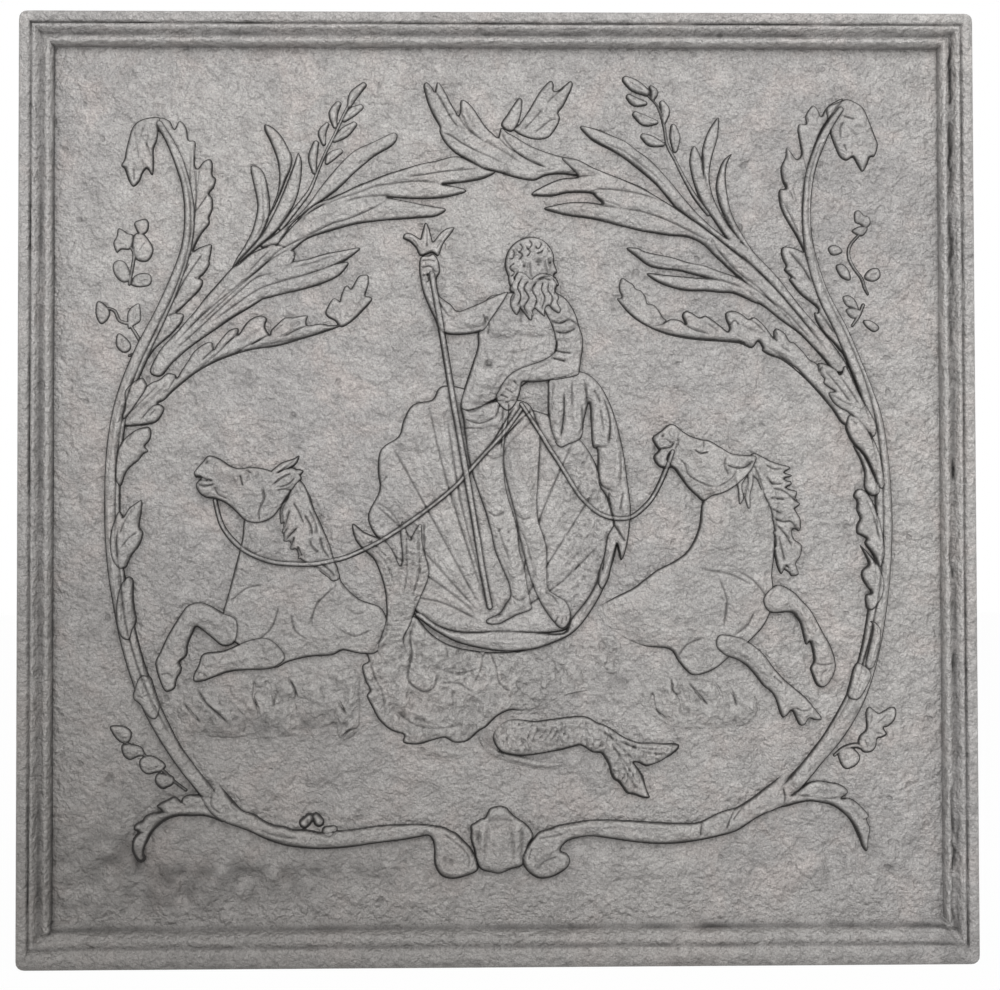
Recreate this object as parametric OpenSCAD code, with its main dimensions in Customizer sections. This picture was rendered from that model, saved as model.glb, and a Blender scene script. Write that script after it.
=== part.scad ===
// Cast-iron fireback, 600 mm square: a sea god driving two fish-tailed
// horses inside an acanthus and palm wreath, with a moulded border.
// Origin: middle of the foot, in the middle of the thickness.
// +Z is up, the ornament faces -Y.

/* [Plate] */
// Width over the border
plate_w = 600; // [590:1:660]
// Height over the border
plate_h = 598; // [590:1:660]
// Thickness of the flat plate behind the ornament
plate_t = 16; // [10:0.5:30]
// Radius of the plate's four corners, seen from the front
corner_r = 5; // [2:0.5:7]

/* [Border] */
// Rise of the border above the field
border_h = 10; // [9.5:0.5:14]
// Rounding of the border's outer edge
edge_r = 3; // [1:0.5:4]
// Flat outer rim
rim_w = 7; // [5:0.5:9]
// Groove inside the rim
groove_w = 2; // [1:0.5:3]
// Small bead beside the groove
bead_w = 3; // [2:0.5:4]
// Hollow between the two beads
cove_w = 5; // [4:0.5:6]
// Inner bead
inner_bead_w = 4; // [3:0.5:5]
// Depth of the hollow
cove_d = 5; // [4:0.5:6]
// Quirk where the border meets the field
quirk_w = 1; // [0.5:0.5:2]

/* [Foot border] */
// Flat rim along the foot
foot_rim_w = 9; // [6:0.5:12]
// Shallow hollow above the foot rim
foot_cove_w = 7; // [4:0.5:8]
// Soft bead above the hollow
foot_bead_w = 5; // [3:0.5:6]
// Slope from the bead down to the field
foot_slope_w = 4; // [2:0.5:5]
// Drop from the rim to the foot bead
foot_drop = 3.5; // [2:0.5:5]

/* [Field] */
// Clear field between the wreath and the side borders
side_margin = 27; // [20:0.5:40]
// Clear field above the ornament
top_margin = 16.5; // [10:0.5:30]
// Clear field below the ornament
foot_margin = 27.5; // [20:0.5:40]

/* [Relief heights] */
// Stems
stem_h = 6.5; // [4:0.5:9]
// Leaf lobes along the stems
frond_h = 4.5; // [3:0.5:6]
// Drooping flowers at the top
flower_h = 5.5; // [3:0.5:8]
// Palm leaves
palm_h = 5; // [3:0.5:8]
// Crossing plumes
plume_h = 3; // [2:0.5:6]
// Berry sprigs
berry_h = 4; // [2:0.5:6]
// Small flower sprigs
sprig_h = 3; // [2:0.5:5]
// Side acanthus leaves
side_leaf_h = 5.5; // [3:0.5:8]
// Husks round the stems
husk_h = 7; // [5:0.5:9.5]
// Hanging bud sprigs
bud_h = 4; // [2:0.5:6]
// Leaves in the lower corners
corner_leaf_h = 7; // [4:0.5:9.5]
// C-scrolls
scroll_h = 8; // [5:0.5:9.5]
// Palmette between the scrolls
palmette_h = 8.5; // [5:0.5:9.5]
// Shell behind the figure
shell_h = 3.5; // [2:0.5:6]
// Rim of the shell chariot
chariot_rim_h = 7; // [4:0.5:9]
// Trunk and legs of the figure
body_h = 7; // [4:0.5:9]
// Arms of the figure
arm_h = 8; // [5:0.5:9.5]
// Head and beard
head_h = 9; // [6:0.5:9.5]
// Drapery
cloth_h = 6.5; // [4:0.5:9]
// Staff and its three prongs
staff_h = 4; // [2:0.5:5]
// Reins
rein_h = 3; // [2:0.5:4]
// Horses' bodies and legs
horse_h = 7; // [4:0.5:9]
// Horses' heads
horse_head_h = 8; // [4:0.5:9.5]
// Manes
mane_h = 6; // [3:0.5:8]
// Fish tails
tail_h = 6; // [4:0.5:9]
// Scaly coils under the chariot
coil_h = 4.5; // [3:0.5:8]
// Waves on the ground
wave_h = 1.5; // [1:0.5:3]

/* [Seats] */
// Clearance between an ornament and the one that lies over it
lap_gap = 0.2; // [0.1:0.05:0.5]
// Thickness of the staff
staff_w = 4; // [3:0.5:6]
// Width of a rein
rein_w = 3; // [2:0.5:4]

/* [Hidden] */

side_w = rim_w + groove_w + bead_w + cove_w + inner_bead_w + quirk_w;
foot_w = foot_rim_w + foot_cove_w + foot_bead_w + foot_slope_w;
back_y = (plate_t + border_h) / 2;
field_y = back_y - plate_t;
reach = border_h + 2;

// ---- helpers ----
function arc(cx, cy, rx, ry, a0, a1, n) =
  [for (i = [0:n]) let (a = a0 + (a1 - a0) * i / n) [cx + rx * cos(a), cy + ry * sin(a)]];
function bend(a, b, c, d, t) =
  (2 * b + (c - a) * t + (2 * a - 5 * b + 4 * c - d) * t * t + (3 * b - a - 3 * c + d) * t * t * t) / 2;
// smooth line through hand-set stations [x, z, width], n steps between two of them
function spline(p, n) = [for (i = [0:len(p) - 2]) for (j = [0:n - 1])
  bend(p[max(i - 1, 0)], p[i], p[i + 1], p[min(i + 2, len(p) - 1)], j / n), p[len(p) - 1]];
// tip-to-base leaf: narrow tip, full width a third of the way down, narrower at the base
function blade(p, w) = [for (i = [0:len(p) - 1]) let (t = i / (len(p) - 1))
  [p[i][0], p[i][1], w * (t < 0.35 ? 0.2 + 0.8 * t / 0.35 : 1 - 0.4 * (t - 0.35) / 0.65)]];
function even(p, w) = [for (s = p) [s[0], s[1], w]];
function lo(f, a) = min([for (p = f[2]) for (s = p) s[a] - s[2] / 2]);
function hi(f, a) = max([for (p = f[2]) for (s = p) s[a] + s[2] / 2]);
function meet(f, g) = lo(f, 0) < hi(g, 0) + 2 && lo(g, 0) < hi(f, 0) + 2
  && lo(f, 1) < hi(g, 1) + 2 && lo(g, 1) < hi(f, 1) + 2;

module on_field() translate([0, field_y, 0]) rotate([90, 0, 0]) children();
function place(s) = [s[0] * fit_k, fit_z + (s[1] - drawing_foot) * fit_k, max(s[2] * fit_k, 0.8)];
function drawn(p, n) = [for (s = spline(p, n)) place(s)];
// direction square to a line at its station i
function across(q, i) = let (a = q[max(i - 1, 0)], b = q[min(i + 1, len(q) - 1)], d = [a[1] - b[1], b[0] - a[0]]) d / norm(d);
// cross-sections of a carved stroke, as shares of its width and height
ridged = [[-0.5, 0], [0, 1], [0.5, 0]];
bevelled = [[-0.5, 0], [-0.26, 1], [0.26, 1], [0.5, 0]];
crowned = [[-0.5, 0], [-0.42, 0.6], [-0.2, 1], [0.2, 1], [0.42, 0.6], [0.5, 0]];
boxed = [[-0.5, 0], [-0.5, 1], [0.5, 1], [0.5, 0]];
function ring(q, i, shape, t, more = 0, z = 0) = let (n = across(q, i), w = q[i][2] + more)
  [for (c = shape) [q[i][0] + n[0] * c[0] * w, q[i][1] + n[1] * c[0] * w, c[1] * t + z]];
function rise(w, h) = min(h, 0.7 * w + 1.5);
// one closed solid through a line of cross-sections
module sweep(rings) let (m = len(rings[0]), n = len(rings)) polyhedron([for (r = rings) each r],
  concat([[for (i = [m - 1:-1:0]) i], [for (i = [0:m - 1]) (n - 1) * m + i]],
  [for (k = [0:n - 2], i = [0:m - 1]) let (a = k * m + i, b = k * m + (i + 1) % m) each [[a, b, b + m], [a, b + m, a + m]]]));
module knob(s, h) translate([s[0], s[1], 0]) hull() {
  cylinder(d1 = s[2], d2 = 0.84 * s[2], h = 0.6 * rise(s[2], h), $fn = 8);
  cylinder(d1 = 0.84 * s[2], d2 = 0.4 * s[2], h = rise(s[2], h), $fn = 8);
}
// broad strokes are crowned, middling ones bevelled, both with round ends, fine ones ridged
module carve(f) for (p = f[2]) let (q = drawn(p, f[1]), full = max([for (s = p) s[2]]), wide = full > 9,
    shape = full > 14 ? crowned : wide ? bevelled : ridged) {
  sweep([for (i = [0:len(q) - 1]) ring(q, i, shape, rise(q[i][2], f[0]))]);
  if (wide) for (i = [0, len(q) - 1]) if (q[i][2] > 8 * fit_k) knob(q[i], f[0]);
}
// the room that a form takes from whatever lies under it
module room(f) for (p = f[2]) let (q = drawn(p, f[1]), wide = max([for (s = p) s[2]]) > 9) {
  sweep([for (i = [0:len(q) - 1]) ring(q, i, boxed, reach, 2 * lap_gap, -1)]);
  if (wide) for (i = [0, len(q) - 1]) if (q[i][2] > 8 * fit_k)
    translate([q[i][0], q[i][1], -1]) cylinder(d = q[i][2] + 2 * lap_gap, h = reach, $fn = 8);
}
// a form as it shows: cut by every form that lies over it
module ornament(i) on_field() difference() {
  union() { carve(FORMS[i]); children(); }
  for (j = [0:1:i - 1]) if (meet(FORMS[i], FORMS[j])) room(FORMS[j]);
}

// ---- the drawing: [height, steps, strokes], strokes of [x, z, width] ----
F_staff = [staff_h, 1, [even([[-42, 431], [-33, 380], [-24, 327], [-15, 275], [-6.5, 224]], staff_w)]];
F_prongs = [staff_h, 2, [
  [[-59, 457, 2], [-53, 455, 4], [-48, 450, 4], [-45, 446, 5]],
  [[-46, 465, 2], [-45, 456, 4], [-44, 447, 4]],
  [[-29, 462, 2], [-35, 458, 4], [-40, 450, 4], [-43, 446, 5]]]];
F_head = [head_h, 1, [
  [[20, 433, 22], [20, 441, 29], [21, 444, 23]],
  [[33, 445, 6], [35, 438, 5], [34, 431, 4]],
  [[7, 446, 6], [5, 439, 6], [7, 431, 6]],
  [[12, 451, 7], [20, 453, 7], [28, 450, 7]]]];
F_beard = [head_h, 1, [
  [[12, 428, 9], [10, 418, 8], [10, 406, 4]],
  [[18, 428, 10], [17, 416, 9], [17, 403, 4]],
  [[25, 428, 10], [25, 417, 8], [23, 404, 4]],
  [[31, 427, 7], [31, 418, 6], [29, 407, 3]]]];
F_arm_l = [arm_h, 2, [
  [[2, 413, 17], [-10, 407, 18], [-24, 403, 15], [-35, 403, 13]],
  [[-37, 404, 13], [-41, 414, 12], [-43, 425, 10], [-44, 434, 12], [-43, 440, 10]]]];
F_arm_r = [arm_h, 2, [
  [[35, 412, 19], [43, 402, 16], [46, 389, 15], [44, 377, 13]],
  [[45, 376, 13], [32, 374, 13], [20, 369, 11], [9, 362, 12]],
  [[7, 361, 10], [3, 354, 9], [6, 349, 5]]]];
F_rein_l = [rein_h, 2, [even([[-178, 290], [-173, 274], [-160, 260], [-140, 252], [-116, 251], [-94, 257],
  [-72, 268], [-47, 284], [-27, 300], [-8, 321], [6, 339]], rein_w)]];
F_rein_r = [rein_h, 2, [even([[17, 346], [28, 330], [44, 304], [55, 288], [69, 279], [83, 280], [95, 289],
  [103, 306], [109, 319]], rein_w)]];
F_torso = [body_h, 1, [
  [[12, 410, 42], [12, 398, 48], [10, 384, 50], [4, 370, 46], [-1, 358, 42], [-3, 352, 36]]]];
F_cloth = [cloth_h, 2, [
  [[44, 364, 18], [42, 350, 22], [43, 337, 21], [46, 328, 9]],
  [[57, 364, 10], [63, 350, 13], [65, 338, 13], [64, 327, 9]],
  [[62, 366, 7], [72, 347, 9], [77, 326, 10], [78, 306, 11], [77, 288, 13], [73, 272, 15], [70, 255, 10], [65, 238, 5]],
  [[66, 320, 8], [68, 308, 12], [69, 292, 10], [72, 280, 8]]]];
F_leg_l = [body_h, 2, [
  [[-6, 345, 33], [-6, 326, 29], [-5, 306, 22], [-1, 288, 18], [3, 270, 17], [7, 250, 16], [11, 236, 13], [13, 224, 12]],
  [[15, 221, 10], [5, 219, 10], [-5, 214, 6]]]];
F_leg_r = [body_h, 2, [
  [[13, 345, 24], [14, 325, 22], [15, 305, 20], [17, 288, 17], [20, 270, 15], [24, 253, 13], [28, 238, 11], [33, 227, 12], [40, 217, 9]]]];
F_rim = [chariot_rim_h, 2, [
  [[-51, 219, 5], [-43, 213, 7], [-30, 206, 8], [-12, 202.5, 10], [8, 202, 11], [24, 203, 10], [38, 207, 8], [48, 214, 8], [57, 225, 7], [64, 240, 6], [71, 262, 4]]]];
F_horse_l_head = [horse_head_h, 2, [
  [[-184, 304, 21], [-173, 302, 24], [-161, 297, 28], [-149, 294, 32], [-138, 299, 27], [-129, 305, 20]],
  [[-141, 303, 5], [-132, 307, 8], [-124, 311, 4]],
  [[-143, 309, 4], [-134, 313, 5], [-126, 317, 2]]]];
F_horse_l_mane = [mane_h, 2, [
  [[-124, 300, 6], [-117, 287, 8], [-112, 274, 8], [-107, 261, 7], [-103, 249, 5]],
  [[-124, 296, 6], [-131, 286, 6], [-135, 274, 3]],
  [[-121, 287, 6], [-128, 277, 6], [-134, 266, 3]],
  [[-118, 278, 6], [-124, 269, 6], [-130, 260, 3]],
  [[-114, 268, 6], [-119, 260, 6], [-123, 252, 3]],
  [[-110, 257, 6], [-113, 249, 5], [-104, 243, 3]]]];
F_horse_l_legs = [horse_h, 2, [
  [[-170, 209, 18], [-180, 213, 15], [-190, 217, 13], [-198, 210, 11], [-205, 199, 10], [-208, 188, 11], [-208, 178, 7]],
  [[-145, 195, 19], [-158, 193, 16], [-170, 191, 13], [-181, 190, 12], [-187, 183, 7]]]];
F_fluke_l = [tail_h, 2, [
  [[-90, 275, 3], [-84, 266, 8], [-75, 254, 12], [-67, 242, 16], [-62, 230, 18], [-64, 214, 18], [-68, 198, 18]],
  [[-58, 269, 3], [-60, 258, 7], [-60, 246, 10]],
  [[-49, 274, 3], [-51, 262, 8], [-52, 248, 12], [-56, 234, 14]]]];
F_horse_l_body = [horse_h, 1, [
  [[-141, 284, 30], [-141, 266, 42], [-139, 248, 54], [-136, 230, 66], [-132, 218, 56]],
  [[-130, 217, 46], [-108, 214, 42], [-92, 212, 36], [-80, 209, 30]]]];
F_horse_r_head = [horse_head_h, 1, [
  [[104, 323, 16], [110, 324, 24], [119, 318, 27], [130, 311, 31], [141, 305, 30], [152, 304, 22]],
  [[142, 312, 5], [152, 314, 7], [163, 317, 4]]]];
F_horse_r_mane = [mane_h, 1, [
  [[160, 314, 7], [170, 306, 8], [176, 294, 9], [179, 280, 9], [180, 266, 8], [180, 252, 7]],
  [[167, 310, 5], [174, 313, 5], [181, 312, 3]],
  [[173, 302, 6], [179, 306, 5], [184, 305, 3]],
  [[176, 292, 6], [180, 296, 4], [185, 291, 3]],
  [[178, 281, 6], [183, 283, 5], [188, 279, 3]],
  [[178, 271, 6], [184, 274, 5], [188, 271, 3]],
  [[180, 258, 6], [187, 256, 5], [187, 245, 3]]]];
F_horse_r_legs = [horse_h, 2, [
  [[143, 199, 17], [157, 194, 16], [168, 184, 15], [178, 173, 14], [187, 163, 12], [195, 154, 8]],
  [[167, 229, 17], [180, 227, 14], [190, 219, 13], [197, 208, 11], [203, 197, 11], [205, 186, 12], [204, 177, 7]]]];
F_horse_r_body = [horse_h, 1, [
  [[151, 290, 38], [151, 270, 44], [147, 252, 50], [142, 235, 56], [136, 220, 54]],
  [[134, 214, 50], [116, 213, 46], [98, 212, 38], [82, 213, 28], [68, 216, 12]]]];
F_tail_r = [tail_h, 2, [
  [[4, 145, 20], [20, 142, 21], [36, 144, 19], [52, 146, 17], [66, 142, 16], [80, 135, 14], [96, 131, 12], [109, 136, 3]],
  [[68, 138, 10], [75, 127, 14], [81, 115, 13], [92, 105, 3]]]];
F_coils = [coil_h, 2, [
  [[-52, 210, 7], [-56, 196, 6], [-55, 184, 7], [-48, 176, 9], [-42, 180, 6]],
  [[-74, 186, 18], [-73, 170, 20], [-64, 158, 24], [-46, 158, 30], [-24, 160, 36], [-6, 166, 34], [10, 170, 22]],
  [[-32, 188, 20], [-12, 184, 24], [8, 182, 22], [26, 180, 18], [40, 186, 18], [56, 192, 14], [66, 202, 10]]]];
shell_tips = [[-34, 358], [-48, 350], [-59, 338], [-70, 323], [-75, 305], [-79, 287], [-78, 268], [-70, 250], [-60, 235],
  [-51, 222], [44, 218], [56, 240], [62, 256], [64, 274], [62, 292], [54, 308], [42, 322], [20, 338], [-6, 350]];
F_shell = [shell_h, 1, [for (t = shell_tips) [[-5 + (t[0] + 5) * 0.14, 218 + (t[1] - 218) * 0.14, 2],
  [-5 + (t[0] + 5) * 0.94, 218 + (t[1] - 218) * 0.94, 9]]]];
F_husks_l = [husk_h, 1, [
  [[-236, 341, 9], [-226, 346, 9], [-214, 350, 4]],
  [[-238, 331, 9], [-229, 335, 8], [-219, 336, 4]],
  [[-239, 316, 9], [-231, 325, 8], [-222, 327, 4]],
  [[-240, 255, 10], [-234, 268, 10], [-226, 288, 4]],
  [[-241, 264, 7], [-240, 274, 7], [-238, 283, 3]],
  [[-237, 252, 8], [-229, 262, 8], [-224, 270, 4]],
  [[-236, 220, 12], [-233, 231, 9], [-231, 242, 4]],
  [[-218, 162, 11], [-220, 172, 9], [-221, 181, 4]]]];
F_husks_r = [husk_h, 1, [
  [[222, 348, 9], [214, 363, 10], [208, 375, 5]],
  [[224, 352, 8], [221, 364, 8], [220, 375, 4]],
  [[236, 320, 8], [229, 330, 9], [221, 341, 4]],
  [[242, 302, 8], [234, 312, 8], [227, 321, 4]],
  [[238, 275, 9], [232, 287, 9], [226, 296, 5]],
  [[240, 252, 8], [235, 261, 8], [229, 271, 4]],
  [[238, 230, 8], [235, 238, 7], [231, 245, 4]],
  [[234, 192, 10], [234, 203, 8], [233, 213, 4]],
  [[224, 170, 9], [227, 179, 8], [229, 187, 4]]]];
F_stem_l = [stem_h, 2, [
  [[-213, 528, 4], [-199, 503, 5], [-194, 478, 6], [-195, 448, 7], [-208, 412, 8], [-224, 377, 9], [-235, 342, 10],
   [-240, 307, 11], [-240, 272, 11], [-237, 237, 11], [-231, 202, 12], [-220, 172, 11], [-207, 144, 10], [-193, 121, 10], [-181, 107, 9]]]];
F_stem_r = [stem_h, 2, [
  [[217, 537, 4], [204, 516, 5], [197, 494, 6], [196, 470, 6], [197, 447, 6], [206, 415, 8], [220, 380, 9], [233, 347, 10],
   [240, 315, 10], [242, 280, 11], [241, 245, 11], [234, 208, 12], [224, 177, 12], [209, 145, 11], [193, 121, 10], [181, 108, 10]]]];
F_flower_l = [flower_h, 2, [
  [[-213, 530, 5], [-223, 526, 9], [-230, 513, 10], [-233, 501, 8], [-231, 490, 4]],
  [[-219, 525, 8], [-225, 510, 9], [-225, 498, 6], [-226, 491, 3]],
  [[-216, 526, 6], [-220, 512, 8], [-219, 503, 6], [-218, 496, 3]]]];
F_flower_r = [flower_h, 2, [
  [[213, 538, 6], [224, 538, 10], [233, 527, 12], [236, 514, 8], [232, 501, 4]],
  [[215, 534, 7], [224, 525, 10], [229, 513, 8], [231, 501, 3]],
  [[210, 532, 5], [216, 521, 8], [220, 510, 6], [223, 502, 3]]]];
F_frond_l = [frond_h, 2, [
  [[-206, 516, 7], [-201, 524, 6], [-200, 530, 2]],
  [[-200, 506, 9], [-195, 513, 7], [-192, 518, 2]],
  [[-196, 494, 10], [-188, 500, 8], [-182, 506, 3]],
  [[-194, 482, 10], [-186, 489, 8], [-178, 493, 3]],
  [[-193, 470, 10], [-186, 476, 8], [-179, 481, 3]],
  [[-193, 457, 10], [-187, 463, 8], [-182, 468, 3]],
  [[-196, 444, 9], [-188, 448, 8], [-180, 450, 3]],
  [[-200, 432, 9], [-191, 436, 8], [-182, 437, 3]],
  [[-205, 419, 9], [-196, 424, 8], [-186, 429, 3]],
  [[-213, 400, 9], [-206, 404, 8], [-199, 407, 3]],
  [[-220, 386, 8], [-214, 392, 7], [-206, 396, 3]]]];
F_frond_r = [frond_h, 2, [
  [[206, 524, 7], [202, 532, 6], [200, 540, 2]],
  [[200, 513, 9], [195, 521, 8], [192, 529, 3]],
  [[198, 500, 9], [190, 508, 8], [182, 514, 3]],
  [[196, 487, 10], [187, 495, 8], [179, 500, 3]],
  [[195, 475, 10], [187, 482, 8], [178, 485, 3]],
  [[195, 463, 9], [187, 470, 8], [179, 478, 3]],
  [[198, 446, 9], [189, 450, 8], [180, 450, 3]],
  [[202, 434, 9], [192, 438, 8], [181, 438, 3]],
  [[207, 421, 9], [196, 426, 8], [184, 430, 3]],
  [[214, 405, 9], [206, 409, 7], [200, 409, 3]],
  [[221, 391, 8], [213, 397, 7], [206, 399, 3]]]];
F_side_l = [side_leaf_h, 2, [
  [[-222, 357, 6], [-206, 363, 10], [-190, 375, 13], [-170, 386, 14], [-150, 393, 13], [-130, 397, 11], [-108, 401, 7]],
  [[-114, 399, 6], [-118, 403, 6], [-120, 407, 3]],
  [[-128, 399, 8], [-130, 402, 8], [-129, 406, 5]],
  [[-143, 396, 8], [-147, 401, 8], [-151, 405, 5]],
  [[-157, 393, 9], [-162, 397, 8], [-166, 399, 4]],
  [[-172, 386, 9], [-178, 389, 6], [-182, 390, 3]],
  [[-188, 377, 9], [-197, 378, 6], [-207, 371, 3]],
  [[-213, 361, 8], [-221, 364, 7], [-226, 367, 3]],
  [[-110, 401, 6], [-107, 410, 7], [-103, 417, 4]],
  [[-104, 402, 8], [-99, 414, 9], [-95, 425, 4]],
  [[-99, 402, 8], [-92, 416, 10], [-85, 431, 5]],
  [[-97, 402, 7], [-89, 409, 8], [-81, 417, 4]]]];
F_side_r = [side_leaf_h, 2, [
  [[216, 345, 6], [208, 357, 10], [195, 372, 13], [178, 385, 14], [160, 394, 14], [140, 398, 13], [120, 399, 10], [99, 402, 6]],
  [[118, 400, 7], [120, 405, 6], [119, 409, 4]],
  [[142, 398, 8], [146, 403, 8], [147, 408, 5]],
  [[152, 396, 9], [157, 401, 9], [161, 405, 5]],
  [[169, 391, 8], [173, 394, 7], [176, 398, 4]],
  [[183, 382, 9], [187, 386, 7], [190, 390, 3]],
  [[104, 402, 7], [97, 411, 7], [92, 418, 4]],
  [[101, 402, 8], [89, 415, 10], [79, 428, 5]],
  [[98, 402, 7], [87, 408, 8], [77, 416, 5]]]];
F_palm_l = [palm_h, 2, [
  [[-214, 371, 8], [-200, 385, 18], [-180, 403, 28], [-160, 420, 32], [-147, 433, 30]],
  blade([[-155, 502], [-148, 480], [-153, 456], [-164, 436]], 8),
  blade([[-147, 527], [-134, 500], [-139, 476], [-154, 446]], 9),
  blade([[-125, 508], [-128, 488], [-137, 468], [-148, 448]], 7),
  blade([[-65, 520], [-90, 502], [-112, 481], [-140, 452]], 11),
  blade([[-18, 503], [-55, 498], [-95, 482], [-138, 450]], 10),
  blade([[-21, 486], [-50, 487], [-80, 482], [-112, 466], [-146, 442]], 10),
  blade([[-34, 475], [-62, 474], [-90, 467], [-120, 454], [-150, 436]], 9),
  blade([[-87, 449], [-110, 442], [-136, 431], [-160, 417]], 7),
  blade([[-93, 438], [-120, 427], [-146, 420], [-170, 407]], 8)]];
F_palm_r = [palm_h, 2, [
  [[217, 373, 8], [202, 388, 16], [186, 404, 24], [168, 420, 30], [152, 434, 30]],
  blade([[148, 508], [142, 490], [147, 466], [162, 444]], 7),
  blade([[138, 532], [131, 498], [138, 472], [155, 447]], 8),
  blade([[125, 512], [126, 493], [134, 473], [147, 454]], 7),
  blade([[54, 525], [84, 511], [112, 486], [143, 454]], 8),
  blade([[2, 525], [25, 507], [60, 498], [100, 480], [142, 450]], 10),
  blade([[59, 485], [86, 480], [112, 469], [138, 451]], 8),
  blade([[30, 475], [62, 473], [98, 464], [143, 442]], 9),
  blade([[82, 450], [110, 440], [136, 433], [160, 421]], 8),
  blade([[94, 434], [124, 427], [150, 422], [176, 406]], 8),
  blade([[20, 485], [40, 490], [62, 491]], 6)]];
F_berries_l = [berry_h, 1, [
  [[-139, 460, 3], [-128, 477, 3], [-116, 497, 3], [-107, 517, 3], [-98, 534, 3], [-93, 546, 2]],
  [[-115, 499, 4], [-115, 508, 6], [-115, 516, 3]],
  [[-110, 516, 4], [-110, 523, 6], [-109, 529, 3]],
  [[-102, 528, 4], [-101, 535, 6], [-100, 541, 3]],
  [[-94, 540, 4], [-89, 547, 6], [-85, 553, 3]],
  [[-107, 505, 3], [-103, 509, 5], [-100, 512, 3]],
  [[-103, 519, 4], [-97, 523, 6], [-91, 527, 3]],
  [[-97, 531, 4], [-91, 535, 5], [-86, 539, 3]]]];
F_berries_r = [berry_h, 1, [
  [[133, 474, 3], [122, 487, 3], [113, 501, 3], [107, 515, 3], [103, 532, 3], [100, 547, 2]],
  [[92, 549, 4], [86, 554, 6], [81, 558, 3]],
  [[100, 544, 3], [97, 548, 5], [94, 551, 3]],
  [[94, 541, 4], [88, 543, 6], [83, 546, 3]],
  [[101, 530, 4], [94, 532, 5], [87, 535, 3]],
  [[105, 516, 4], [98, 519, 6], [92, 521, 3]],
  [[105, 530, 3], [105, 536, 5], [104, 542, 3]],
  [[111, 511, 4], [111, 520, 7], [111, 528, 3]]]];
F_plume_l = [plume_h, 2, [
  blade([[-46, 554], [-40, 535], [-24, 516], [0, 503], [22, 498]], 6),
  blade([[-38, 554], [-25, 533], [-6, 514], [12, 505]], 5),
  blade([[-23, 544], [-10, 530], [6, 514], [20, 506]], 5),
  blade([[-37, 523], [-22, 517], [-6, 509]], 5)]];
F_plume_r = [plume_h, 2, [
  blade([[13, 546], [13, 534], [11, 522]], 5),
  blade([[33, 556], [22, 541], [13, 524]], 5),
  blade([[46, 555], [34, 546], [16, 526]], 5),
  blade([[38, 533], [29, 529], [18, 522]], 5)]];
F_sprig_l = [sprig_h, 1, [
  [[-225, 390, 2], [-231, 405, 3], [-232, 425, 3], [-231, 445, 3], [-230, 458, 2]],
  [[-231, 457, 6], [-236, 458, 8], [-241, 459, 5]], [[-228, 460, 5], [-223, 463, 6]],
  [[-228, 444, 6], [-223, 451, 8], [-221, 455, 5]], [[-233, 429, 5], [-238, 436, 9], [-241, 440, 5]],
  [[-230, 428, 5], [-224, 430, 8], [-219, 430, 4]], [[-234, 411, 4], [-242, 415, 8], [-248, 416, 6]],
  [[-230, 401, 5], [-229, 408, 7], [-229, 414, 4]], [[-229, 394, 4], [-237, 391, 8], [-245, 391, 6]]]];
F_sprig_r = [sprig_h, 1, [
  [[232, 397, 2], [232, 412, 3], [230, 430, 3], [225, 446, 3], [224, 462, 2]],
  [[224, 461, 5], [229, 466, 8], [234, 469, 5]], [[223, 452, 5], [216, 451, 8], [210, 449, 5]],
  [[229, 432, 5], [236, 435, 8], [242, 437, 5]], [[230, 418, 5], [225, 415, 7], [220, 412, 4]],
  [[233, 409, 4], [238, 413, 7], [243, 415, 5]]]];
F_buds_l = [bud_h, 1, [
  [[-236, 146, 3], [-222, 134, 3], [-210, 123, 3], [-197, 111, 2]],
  [[-237, 146, 11], [-236, 145, 11]], [[-230, 134, 10], [-229, 133, 10]],
  [[-220, 125, 9], [-219, 124, 9]], [[-210, 116, 9], [-209, 115, 9]], [[-231, 142, 6], [-225, 137, 5]]]];
F_buds_r = [bud_h, 1, [
  [[236, 153, 4], [231, 142, 4], [222, 134, 4], [212, 134, 2]],
  [[235, 151, 7], [235, 156, 6]], [[239, 150, 7], [246, 156, 7]], [[236, 144, 7], [242, 144, 5]],
  [[231, 139, 8], [232, 136, 8]], [[222, 134, 5], [224, 133, 4]], [[220, 126, 11], [221, 125, 11]],
  [[215, 131, 4], [218, 129, 6]], [[233, 146, 6], [232, 149, 5]]]];
F_scroll_l = [scroll_h, 2, [
  [[-164, 93, 12], [-150, 86.5, 13], [-130, 80, 12], [-110, 78, 11], [-90, 80, 11], [-70, 82.5, 11], [-52, 84, 10],
   [-38, 82, 9], [-27, 76, 9], [-20, 67, 9], [-23, 58, 8], [-33, 58, 7], [-37, 65, 5], [-30, 67, 3]],
  [[-122, 91, 3], [-114, 90, 6], [-112, 89, 5]], [[-108, 84, 6], [-106, 83, 6]]]];
F_scroll_r = [scroll_h, 2, [
  [[166, 99, 12], [150, 91, 13], [133, 85, 14], [115, 81.5, 13], [98, 81.5, 13], [80, 83.5, 12], [60, 85, 11], [45, 83.5, 10],
   [31, 79, 9], [21, 71, 9], [20, 61, 8], [28, 56, 7], [38, 58, 6], [41, 65, 5], [34, 68, 3]]]];
F_palmette = [palmette_h, 2, [
  [[0, 58, 10], [0, 78, 14], [-1, 94, 9]],
  [[-3, 60, 7], [-9, 76, 9], [-12, 88, 6]],
  [[-7, 60, 5], [-12, 70, 7], [-17, 83, 4]],
  [[3, 60, 7], [9, 76, 9], [12, 87, 6]],
  [[7, 60, 5], [13, 70, 7], [19, 83, 4]],
  [[0, 60, 8], [0, 54, 3]]]];
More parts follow.
